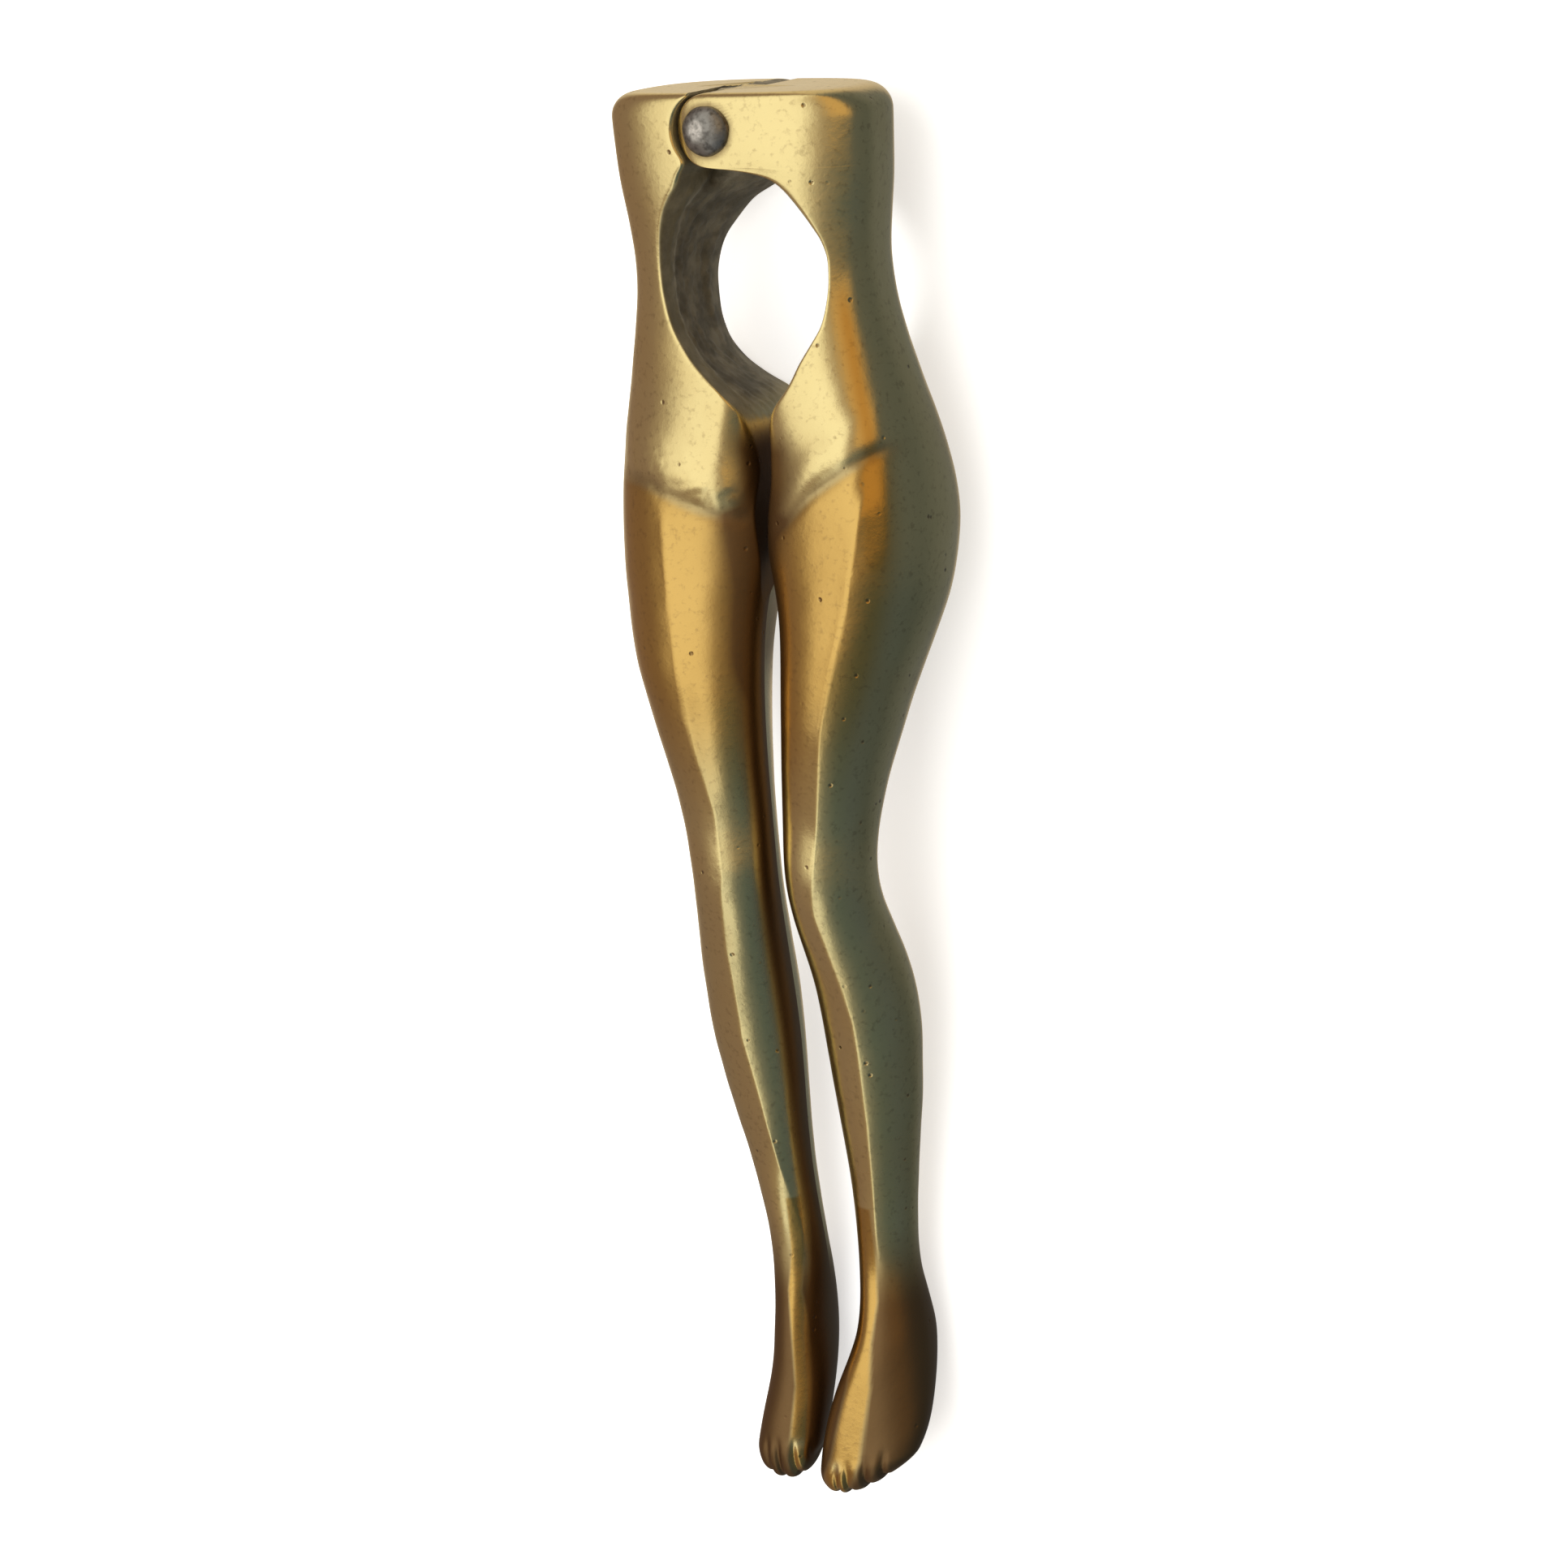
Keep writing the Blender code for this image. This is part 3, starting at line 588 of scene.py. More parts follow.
RIGHT_SHAPE = LeverShape(
    side=Side.RIGHT,
    sections=RIGHT_SECTIONS,
    front_edge=RIGHT_FRONT,
    back_edge=RIGHT_BACK,
    foot=Foot(
        tip_y=-63.7,
        slant=0.46,
        grooves=(0.84, 1.95, 3.6, 5.2),
        splay=0.12,
        stripe=((-44.0, 4.2), (-47.6, 3.6), (-52.0, 3.3), (-58.8, 1.9), (-62.0, 0.4)),
        stripe_width=1.15,
        nail=(0.9, -59.6),
    ),
    groin=Groin(
        line=((2.5, 27.4), (4.5, 28.4), (7.3, 30.9), (11.2, 33.4), (13.4, 34.5)),
        roughness=0.0,
        shade=0.0,
    ),
    ridge=(
        ((32.0, 12.3), (21.3, 10.3), (10.7, 7.4), (-2.2, 5.2), (-5.8, 4.8), (-16.6, 6.3))
        + ((-26.8, 6.0), (-37.3, 5.3))
    ),
    hip_streak=0.8,
)
LEFT_SHAPE = LeverShape(
    side=Side.LEFT,
    sections=LEFT_SECTIONS,
    front_edge=LEFT_FRONT,
    back_edge=LEFT_BACK,
    foot=Foot(
        tip_y=-62.1,
        slant=0.0,
        grooves=(-6.3, -5.1, -3.6, -2.25),
        splay=0.03,
        stripe=((-40.0, -2.9), (-43.9, -3.3), (-52.7, -2.5), (-59.7, -3.0)),
        stripe_width=0.75,
        nail=(-3.2, -58.2),
    ),
    groin=Groin(
        line=((-9.5, 31.6), (-8.0, 31.2), (-5.8, 30.4), (-3.5, 29.5), (-0.5, 28.6), (1.0, 28.2)),
        roughness=0.035,
        shade=0.7,
    ),
    ridge=(
        ((30.2, -6.9), (11.4, -5.4), (2.9, -3.8), (-3.0, -3.6), (-10.0, -4.6), (-19.0, -5.0))
        + ((-31.5, -3.5), (-38.1, -2.5))
    ),
    hip_streak=0.0,
)


# ---------------------------------------------------------------------------------------------------------
# The levers' surface


@dataclass(frozen=True)
class PaintedLightAndDirt:
    """Where warm reflections, a highlight and shade are painted on the brass, and where it is dirty.

    Spans are mm of the drawing along the tool, and plain values say how strong the colour is, from 0 to 1.
    """

    # painted warm reflection on the thigh, below the groin's crease
    thigh: float = 0.85
    thigh_rise: Span = (0.0, 0.8)  # below the groin's crease
    thigh_fall: Span = (16.0, 30.0)
    streak_tilt: Span = (40.0, 9.0)  # outward tilt of the normal at which a warm reflection is painted down the hip, and its spread, in degrees
    streak_rise: Span = (24.0, 27.0)
    streak_fall: Span = (45.0, 50.0)
    # painted warm reflection in a stripe along the instep
    stripe: float = 0.9
    stripe_below: float = -35.0  # place along the tool above which the stripe's warm reflection isn't painted
    # dirt over the feet, left off the stripe and off the nail's painted highlight
    foot_ends: Span = (-45.0, -36.0)
    stripe_cleared: float = 0.95
    nail_cleared: float = 0.9
    # darkens the groin's crease
    crease: float = 0.5
    # painted shade beside the gap between the legs
    gap_columns: Span = (3.0, 14.0)  # columns from the front edge over which the painted shade beside the gap fades
    gap_ends: Span = (34.0, 37.0)
    shade_x: Span = (-0.5, 1.7)  # middle of the painted shade on the thigh beside the gap, and half its width
    shade_rise: Span = (12.0, 17.0)
    shade_fall: Span = (27.5, 30.0)
    # painted shade round the rivet's head
    ring: float = 0.6
    rivet_shade_radius: Span = (2.15, 0.3)  # radius of the painted shade round the rivet's head, and half its width


PAINTED_LIGHT_AND_DIRT = PaintedLightAndDirt()


@dataclass
class Surface:
    """A grid of points in mm with rows across the tool, and painted values for each of its points: the
    hollow's lining; darkening, which is painted shade and dirt, with a painted highlight line in the hollow;
    and painted warm reflections.
    """

    points: Array
    hollow: Array
    crease: Array
    painted_reflection: Array


@dataclass
class Places:
    """Where the grid's points lie before their small forms, how they face, and how far below the groin."""

    x: Array
    y: Array
    z: Array
    normal: Array
    below_groin: Array


class LeverSurface:
    """Works out a lever's surface as one grid: a row per place along the tool, a column per point round it.

    Each row starts on the front edge of the inner wall, runs over the front, round the outer side and over
    the back, all on quarters of superellipses, and returns along the inner wall from back to front. At the
    waist the wall has a step in it, where the ear of one half stands beyond the other half. Distances w are
    measured from the section's middle plane, outwards on both levers.
    """

    ROWS = 548
    OUTSIDE = 122
    INSIDE = 54
    FINE_ROWS = 24001
    STEEPEST = 30
    MOST_ACROSS = 0.985
    TINY = 1e-6
    TOP_SHARES = (0.02, 0.2, 0.45, 0.7, 0.86, 0.95)
    TIP_SHARES = (0.5, 0.02)
    RELAXING = 8
    UNEVENNESS = ((0.03, 9.0, 3), (0.010, 3.5, 5))  # height, scale and seed of each ripple
    ROUGH_CASTING = ((1.0, 1.4, 21), (0.9, 0.8, 22))
    HOLLOW_GRAIN = ((0.10, 1.3, 8), (0.05, 0.6, 9))
    FORMS_FACE = (0.15, 0.7)
    PAINT_FACES = (0.35, 0.75)
    RELAXED_FROM = (30.0, 36.0)
    RELAXED_LESS = (56.5, 58.5)
    TIP_FREE = (5, 8)  # mm above the tip
    FORMS_END = (63.0, 63.8)
    LEG_GAP_PLACES = (20, 26)
    LEG_GAP_HALVES = (0.25, 0.35)
    EDGES_TAKE_OVER = (19.0, 23.0)

    def __init__(self, shape: LeverShape) -> None:
        """Works out the rows, their cross-sections and the inner wall's edges.

        Args:
            shape: The lever's shape.
        """
        self.shape = shape
        self.side = shape.side.value
        self.is_outside = (np.arange(self.OUTSIDE + self.INSIDE) < self.OUTSIDE).astype(float)
        self.y = self.row_places()[:, None]
        self.section = self.rounded_section()
        self.front_w = self.edge_distance(shape.front_edge)
        self.back_w = self.edge_distance(shape.back_edge)

    def row_places(self) -> Array:
        """Spaces the rows evenly along the steepest of the lever's lines, so that they close up at its turns.

        Returns:
            The rows' places along the tool, from the waist to the toes.
        """
        shape = self.shape
        fine = np.linspace(WAIST.top_y, shape.foot.tip_y, self.FINE_ROWS)
        half_widths = shape.sections.at(fine)["outer"] * 0.5 * shape.foot.closing(fine)
        half_widths -= WAIST.top_side_rounding * WAIST.drawn_in(fine, WAIST.top_side_height)
        curves = [edge.at(fine, shape.side) for edge in (shape.front_edge, shape.back_edge)]
        slopes = np.max([np.abs(np.gradient(c, fine)) for c in (*curves, half_widths)], axis=0)
        density = np.sqrt(1 + np.clip(slopes, 0, self.STEEPEST) ** 2)
        along = np.concatenate([[0], np.cumsum((density[1:] + density[:-1]) / 2)])
        return np.interp(np.linspace(0, along[-1], self.ROWS), along, fine)

    def rounded_section(self) -> dict[str, Array]:
        """Rounds the cross-sections off under the waist's flat top and at the toes' tip.

        Returns:
            The cross-section values by name, one per row.
        """
        section = self.shape.sections.at(self.y)
        left = self.shape.foot.closing(self.y)
        centre_w = (section["inner"] + section["outer"]) / 2
        centre_z = (section["back"] + section["front"]) / 2
        for name in ("inner", "outer", "front_crest", "back_crest"):
            section[name] = centre_w + (section[name] - centre_w) * left
        for name in ("back", "front", "side", "inner_side"):
            section[name] = centre_z + (section[name] - centre_z) * left
        inset = WAIST.drawn_in(self.y, WAIST.top_rounding) * WAIST.top_rounding
        section["outer"] -= WAIST.drawn_in(self.y, WAIST.top_side_height) * WAIST.top_side_rounding
        section["back"] += inset
        section["front"] -= inset
        return section

    def edge_distance(self, edge: InnerEdge) -> Array:
        """Works out where an edge of the inner wall runs: beside the other leg below, on its own line above.

        Args:
            edge: The front or the back edge.

        Returns:
            Its distances outwards, one per row.
        """
        middle = self.section["middle"]
        closed = middle + self.side * np.interp(self.y, self.LEG_GAP_PLACES, self.LEG_GAP_HALVES)
        x = closed + (edge.at(self.y, self.shape.side) - closed) * smoothstep(*self.EDGES_TAKE_OVER, self.y)
        return self.side * (x - middle)

    def edge_angle(self, face: str, edge_w: Array) -> Array:
        """Works out the angle round the cross-section at which a face meets the inner wall.

        Args:
            face: "front" or "back".
            edge_w: The edge's distances outwards.

        Returns:
            The angles, measured from the outer side.
        """
        section = self.section
        crest = section[face + "_crest"]
        reach = np.where(edge_w < crest, crest - section["inner"], section["outer"] - crest)
        across = np.clip((edge_w - crest) / np.maximum(reach, self.TINY), -self.MOST_ACROSS, self.MOST_ACROSS)
        fullness = np.where(edge_w < crest, section[face + "_inner"], section[face + "_outer"])
        return np.arctan2((1 - np.abs(across) ** fullness) ** (1 / fullness), across)

    def outside(self) -> tuple[Array, Array]:
        """Works out the points over the front, round the outer side and over the back.

        At the angle a of a quarter whose fullness is n, the point lies at (cos a, sin a) divided by the n-th
        root of |cos a|^n + |sin a|^n, stretched to the quarter's width and height.

        Returns:
            Distances outwards, and heights.
        """
        section = self.section
        first = self.edge_angle("front", self.front_w)
        last = -self.edge_angle("back", self.back_w)
        angle = first + (last - first) * np.linspace(0, 1, self.OUTSIDE)
        cosine = np.cos(angle)
        sine = np.sin(angle)
        is_front = sine >= 0
        is_inner = cosine < 0
        front_full = np.where(is_inner, section["front_inner"], section["front_outer"])
        back_full = np.where(is_inner, section["back_inner"], section["back_outer"])
        fullness = np.where(is_front, front_full, back_full)
        radius = (np.abs(cosine) ** fullness + np.abs(sine) ** fullness) ** (-1 / fullness)
        crest = np.where(is_front, section["front_crest"], section["back_crest"])
        across = np.where(is_inner, crest - section["inner"], section["outer"] - crest)
        widest = np.where(is_inner, section["inner_side"], section["side"])
        height = np.where(is_front, section["front"] - widest, widest - section["back"])
        least = np.where(is_front, self.front_w, self.back_w)
        return np.maximum(crest + across * cosine * radius, least), widest + height * sine * radius

    def inner_wall(self, low_z: Array, high_z: Array, across: Array) -> tuple[Array, Array]:
        """Works out the points along the inner wall.

        The wall runs straight between its edges, or along the leg's own roundness where that lies further in.
        Beside the ears it turns into a wall with a step at the height where the two ears meet.

        Args:
            low_z: Heights of the back edge.
            high_z: Heights of the front edge.
            across: Shares of the way from back to front.

        Returns:
            Distances outwards, and heights.
        """
        section = self.section
        middle_z = section["inner_side"]
        plain_z = low_z + (high_z - low_z) * across
        is_front = plain_z >= middle_z
        height = np.where(is_front, section["front"] - middle_z, middle_z - section["back"])
        fullness = np.where(is_front, section["front_inner"], section["back_inner"])
        crest = np.where(is_front, section["front_crest"], section["back_crest"])
        level = np.clip(np.abs(plain_z - middle_z) / np.maximum(height, self.TINY), 0, 1)
        rounded_w = crest - (crest - section["inner"]) * (1 - level**fullness) ** (1 / fullness)
        plain_w = np.maximum(rounded_w, self.back_w + (self.front_w - self.back_w) * across)

        step_z = WAIST.split_z + (0.5 if self.shape.front_edge.has_ear else -0.5) * WAIST.gap
        thirds = 3 * across
        stepped_z = low_z + (step_z - low_z) * np.clip(thirds, 0, 1)
        stepped_z = stepped_z + (high_z - step_z) * np.clip(thirds - 2, 0, 1)
        stepped_w = self.back_w + (self.front_w - self.back_w) * np.clip(thirds - 1, 0, 1)
        stepping = smoothstep(*WAIST.wall_steps, self.y)
        w = plain_w + (stepped_w - plain_w) * stepping + HOLLOW.channel(self.y, across)
        return w, plain_z + (stepped_z - plain_z) * stepping

    def grid(self) -> Surface:
        """Joins the outside and the inner wall into the lever's plain skin.

        Returns:
            The points and the painted values, without the cap rows.
        """
        y = self.y
        share = np.linspace(0, 1, self.INSIDE + 2)[1:-1]
        out_w, out_z = self.outside()
        in_w, in_z = self.inner_wall(out_z[:, -1:], out_z[:, :1], share)
        w = np.concatenate([out_w, in_w], axis=1)
        z = np.concatenate([out_z, in_z], axis=1)
        x = self.section["middle"] + self.side * w
        points = np.stack([x, y + self.shape.foot.lean(y, w), z], axis=-1)
        lining = smoothstep(*HOLLOW.dark_from, y)
        hollow = np.zeros(w.shape)
        # the lip loses some lining: painted light that sets it apart from the channel
        hollow[:, self.OUTSIDE :] = lining * (1 - HOLLOW.lip_paleness * smoothstep(*HOLLOW.lip, share))
        hollow[:, :1] = HOLLOW.edge_darkness * lining * (1 - smoothstep(*HOLLOW.edge_ends, y))
        crease = np.zeros(w.shape)
        # a paler line beside the lip, kept with the crease values: a painted highlight
        crease[:, self.OUTSIDE :] = bell(share, *HOLLOW.lip_line) * plateau(y, HOLLOW.foot, HOLLOW.head)
        return Surface(points, hollow, crease, np.zeros(w.shape))

    def relaxed(self, points: Array, rounds: int) -> Array:
        """Rounds the sharp edges at the waist by letting each point move towards its four neighbours.

        Args:
            points: The grid.
            rounds: How many times the points move.

        Returns:
            The grid with its edges rounded.
        """
        y = points[..., 1:2]
        share = 0.5 * smoothstep(*self.RELAXED_FROM, y) * (1 - 0.75 * smoothstep(*self.RELAXED_LESS, y))
        share[[0, -1]] = 0
        for _ in range(rounds):
            above = np.concatenate([points[:1], points[:-1]])
            below = np.concatenate([points[1:], points[-1:]])
            mean = (np.roll(points, 1, 1) + np.roll(points, -1, 1) + above + below) / 4
            points = points + (mean - points) * share
        return points

    def places(self, points: Array) -> Places:
        """Looks at the grid's points: where they are and which way the surface faces there.

        Args:
            points: The grid.

        Returns:
            The points' places and outward normals.
        """
        along = np.gradient(points, axis=0)
        around = np.roll(points, -1, 1) - np.roll(points, 1, 1)
        normal = np.cross(around, along)
        normal /= np.maximum(np.linalg.norm(normal, axis=-1, keepdims=True), 1e-9)
        x, y, z = np.moveaxis(points, -1, 0)
        return Places(x, y, z, normal * -self.side, self.shape.groin.below(x, y))

    @staticmethod
    def grain(at: Places, ripples: tuple[tuple[float, float, int], ...]) -> Array:
        """The ripples added up at the grid's places, each from its height, scale and seed."""
        return sum(height * ripple(at.x, at.y, at.z, scale, seed) for height, scale, seed in ripples)

    def outer_forms(self, at: Places, crease: Array) -> Array:
        """Adds up the forms of the outer side: groin, ridge, toes and the casting's unevenness.

        Args:
            at: The grid's places.
            crease: How much each point lies in the groin's crease.

        Returns:
            Heights to add along the normals.
        """
        groin = self.shape.groin
        facing = smoothstep(*self.FORMS_FACE, at.normal[..., 2])
        reach = groin.reach(at.x)
        swelling = bell(at.below_groin, -groin.swelling_above, groin.swelling_width) * facing * reach
        rough = plateau(at.below_groin, groin.rough_above, groin.rough_below) * facing * reach
        forms = groin.swelling * swelling - groin.depth * crease
        forms += groin.roughness * rough * self.grain(at, self.ROUGH_CASTING)
        forms += self.shape.ridge_form(at.x, at.y) * facing
        forms += self.shape.foot.toes(at.x, at.y, at.normal[..., 2])
        return forms + self.grain(at, self.UNEVENNESS)

    def with_small_forms(self, surface: Surface) -> Surface:
        """Raises and sinks the surface along its normals, and paints it.

        Args:
            surface: The plain skin.

        Returns:
            The same skin with its small forms and painted values.
        """
        at = self.places(surface.points)
        groin = self.shape.groin
        facing = smoothstep(*self.FORMS_FACE, at.normal[..., 2])
        crease = bell(at.below_groin, 0.0, groin.width) * facing * groin.reach(at.x)
        forms = self.outer_forms(at, crease)

        inside = np.zeros(at.x.shape)
        inside[:, self.OUTSIDE :] = np.clip(5 - np.abs(np.linspace(-6, 6, self.INSIDE)), 0, 1)
        depth = self.grain(at, self.HOLLOW_GRAIN) * surface.hollow * inside
        away_from_edges = np.zeros(at.x.shape)
        ramp = np.clip(np.linspace(0, 8, self.OUTSIDE), 0, 1)
        away_from_edges[:, : self.OUTSIDE] = ramp * ramp[::-1]
        tip = self.shape.foot.tip_y
        near_toes = 1 - smoothstep(*self.TIP_FREE, at.y - tip)
        below_top = 1 - smoothstep(*self.FORMS_END, at.y)
        held = np.maximum(away_from_edges, near_toes) * below_top * np.maximum(self.is_outside, near_toes)
        surface.points = surface.points + at.normal * (forms * held + depth)[..., None]
        self.paint(surface, at, crease * self.is_outside)
        return surface

    def paint(self, surface: Surface, at: Places, crease: Array) -> None:
        """Works out where warm reflections, a highlight and shade are painted on the brass, and where it is
        dirty.

        Args:
            surface: The surface whose painted values are set.
            at: The grid's places.
            crease: How much each point lies in the groin's crease.
        """
        shape = self.shape
        outside = self.is_outside
        x, y = at.x, at.y
        facing = smoothstep(*self.PAINT_FACES, at.normal[..., 2])
        # painted warm reflections: on the thigh below the groin's crease, down the hip where the normal tilts
        # outwards, and on the instep's stripe
        thigh = plateau(at.below_groin, PAINTED_LIGHT_AND_DIRT.thigh_rise, PAINTED_LIGHT_AND_DIRT.thigh_fall) * facing
        tilt = np.degrees(np.arctan2(at.normal[..., 0] * self.side, at.normal[..., 2]))
        streak = bell(tilt, *PAINTED_LIGHT_AND_DIRT.streak_tilt) * plateau(y, PAINTED_LIGHT_AND_DIRT.streak_rise, PAINTED_LIGHT_AND_DIRT.streak_fall)
        stripe = shape.foot.reflection_stripe(x, y) * facing
        # the nail's painted highlight: bare brass, with neither painted reflection nor dirt
        nail = shape.foot.nail_highlight(x, y) * facing
        painted_reflection = PAINTED_LIGHT_AND_DIRT.thigh * thigh + shape.hip_streak * streak
        painted_reflection += PAINTED_LIGHT_AND_DIRT.stripe * stripe * (y < PAINTED_LIGHT_AND_DIRT.stripe_below)
        surface.painted_reflection = np.clip(painted_reflection, 0, 1) * outside * (1 - nail)

        foot = 1 - smoothstep(*PAINTED_LIGHT_AND_DIRT.foot_ends, y)
        foot = foot * (1 - PAINTED_LIGHT_AND_DIRT.stripe_cleared * stripe) * (1 - PAINTED_LIGHT_AND_DIRT.nail_cleared * nail)
        # painted shade beside the gap between the legs: on the inner wall, and on the outside's columns
        # nearest the front edge, below the waist
        column = np.arange(self.OUTSIDE + self.INSIDE)
        beside_gap = np.where(column < self.OUTSIDE, 1 - smoothstep(*PAINTED_LIGHT_AND_DIRT.gap_columns, column), 1.0)
        gap = (1 - smoothstep(*PAINTED_LIGHT_AND_DIRT.gap_ends, y)) * beside_gap
        # painted shade on the thigh beside the gap
        shade = bell(x, *PAINTED_LIGHT_AND_DIRT.shade_x) * plateau(y, PAINTED_LIGHT_AND_DIRT.shade_rise, PAINTED_LIGHT_AND_DIRT.shade_fall) * outside
        # painted shade in a ring round the rivet's head, on the lever with the front ear
        from_rivet = np.hypot(x - WAIST.rivet_x, y - WAIST.rivet_y)
        ring = bell(from_rivet, *PAINTED_LIGHT_AND_DIRT.rivet_shade_radius) * outside * facing * shape.front_edge.has_ear
        # darker in the groin's crease, painted shade beside the gap, on the thigh and round the rivet, and
        # dirt on the feet
        shade_and_dirt = PAINTED_LIGHT_AND_DIRT.crease * crease + gap + shape.groin.shade * shade + foot + PAINTED_LIGHT_AND_DIRT.ring * ring
        surface.crease = np.clip(surface.crease + shade_and_dirt, 0, 1)

    def capped(self, surface: Surface) -> Surface:
        """Adds rows that close the waist's flat top and the tip of the toes.

        Args:
            surface: The open skin.

        Returns:
            The same skin with its cap rows.
        """

        def ring(values: Array, share: float) -> Array:
            """The row moved towards its own centre."""
            centre = values.mean(axis=0)
            return centre + (values - centre) * share

        def widened(values: Array) -> Array:
            """The painted values with rows for the caps."""
            top = np.zeros((len(self.TOP_SHARES), values.shape[1]))
            return np.concatenate([top, values, np.repeat(values[-1:], len(self.TIP_SHARES), 0)])

        rows = surface.points
        top = np.array([ring(rows[0], share) for share in self.TOP_SHARES])
        tip = np.array([ring(rows[-1], share) for share in self.TIP_SHARES])
        surface.points = np.concatenate([top, rows, tip])
        surface.hollow = widened(surface.hollow)
        surface.crease = widened(surface.crease)
        surface.painted_reflection = widened(surface.painted_reflection)
        return surface

    def build(self) -> Surface:
        """Works out the finished surface, step by step.

        Returns:
            The grid with its painted values.
        """
        surface = self.grid()
        surface.points = self.relaxed(surface.points, self.RELAXING)
        return self.capped(self.with_small_forms(surface))


# ---------------------------------------------------------------------------------------------------------
# Materials


class NodeSheet:
    """Lays out shader nodes in a tree and joins them up."""

    def __init__(self, tree: bpy.types.NodeTree) -> None:
        """Keeps the tree that the nodes go in."""
        self.tree = tree
        self.count = 0

    def node(self, kind: str, inputs: Inputs | None = None, **settings: object) -> bpy.types.Node:
        """Makes a node.

        Args:
            kind: The node's type name.
            inputs: Values or output sockets for its inputs.
            settings: Attributes of the node.

        Returns:
            The node.
        """
        made = self.tree.nodes.new(kind)
        made.location = (220 * (self.count % 8), -260 * (self.count // 8))
        self.count += 1
        for name, value in settings.items():
            setattr(made, name, value)
        for name, value in (inputs or {}).items():
            self.feed(made.inputs[name], value)
        return made

    def feed(self, socket: bpy.types.NodeSocket, value: object) -> None:
        """Joins an output socket to an input, or sets the input's value.

        Args:
            socket: The input.
            value: An output socket, or a value.
        """
        if isinstance(value, bpy.types.NodeSocket):
            self.tree.links.new(value, socket)
        else:
            socket.default_value = value

    def math(self, operation: str, a: object, b: object = 0.0, clamp: bool = False) -> NodeOutput:
        """The result of a Math node."""
        return self.node("ShaderNodeMath", {0: a, 1: b}, operation=operation, use_clamp=clamp).outputs[0]

    def times(self, a: object, b: object) -> NodeOutput:
        """The product of two values."""
        return self.math("MULTIPLY", a, b)

    def less(self, a: object, b: object) -> NodeOutput:
        """The first value less the second."""
        return self.math("SUBTRACT", a, b)

    def mix(self, factor: object, a: object, b: object) -> NodeOutput:
        """The result of a colour Mix node, in which a plain colour may stand for a socket."""
        a, b = ((*c, 1) if isinstance(c, tuple) else c for c in (a, b))
        return self.node("ShaderNodeMix", {"Factor": factor, 6: a, 7: b}, data_type="RGBA").outputs[2]

    def noise(self, vector: object, scale: float, detail: float = 3.0, rough: float = 0.5) -> NodeOutput:
        """A noise value of 0 to 1."""
        inputs = {"Vector": vector, "Scale": scale, "Detail": detail, "Roughness": rough}
        return self.node("ShaderNodeTexNoise", inputs).outputs["Fac"]

    def attribute(self, name: str) -> NodeOutput:
        """The value painted on the mesh under this name."""
        return self.node("ShaderNodeAttribute", attribute_name=name).outputs["Fac"]

    def place(self) -> NodeOutput:
        """The place on the object, in metres."""
        return self.node("ShaderNodeTexCoord").outputs["Object"]

    def bump(self, strength: float, height: object) -> NodeOutput:
        """The normal of a relief a tenth of a millimetre high."""
        inputs = {"Strength": strength, "Distance": 0.1 * MM, "Height": height}
        return self.node("ShaderNodeBump", inputs).outputs["Normal"]

    def ramp(self, value: object, stops: Stops) -> NodeOutput:
        """Reads a row of colours.

        Args:
            value: Where to read it, from 0 to 1.
            stops: (place, colour) pairs, rising.

        Returns:
            The colour there.
        """
        made = self.node("ShaderNodeValToRGB", {"Fac": value})
        elements = made.color_ramp.elements
        while len(elements) < len(stops):
            elements.new(0.5)
        for element, (place, colour) in zip(elements, stops):
            element.position = place
            element.color = (*colour, 1.0)
        return made.outputs["Color"]

    def step(self, value: object, low: float, high: float) -> NodeOutput:
        """0 below low, 1 above high and smooth between them."""
        inputs = {"Value": value, "From Min": low, "From Max": high}
        return self.node("ShaderNodeMapRange", inputs, interpolation_type="SMOOTHSTEP").outputs[0]


def node_material(name: str) -> tuple[bpy.types.Material, NodeSheet, bpy.types.Node]:
    """Makes a material that is ready for its nodes.

    Args:
        name: The material's name.

    Returns:
        The material, its sheet and its Principled shader.
    """
    made = bpy.data.materials.new(name)
    made.use_nodes = True
    return made, NodeSheet(made.node_tree), made.node_tree.nodes["Principled BSDF"]


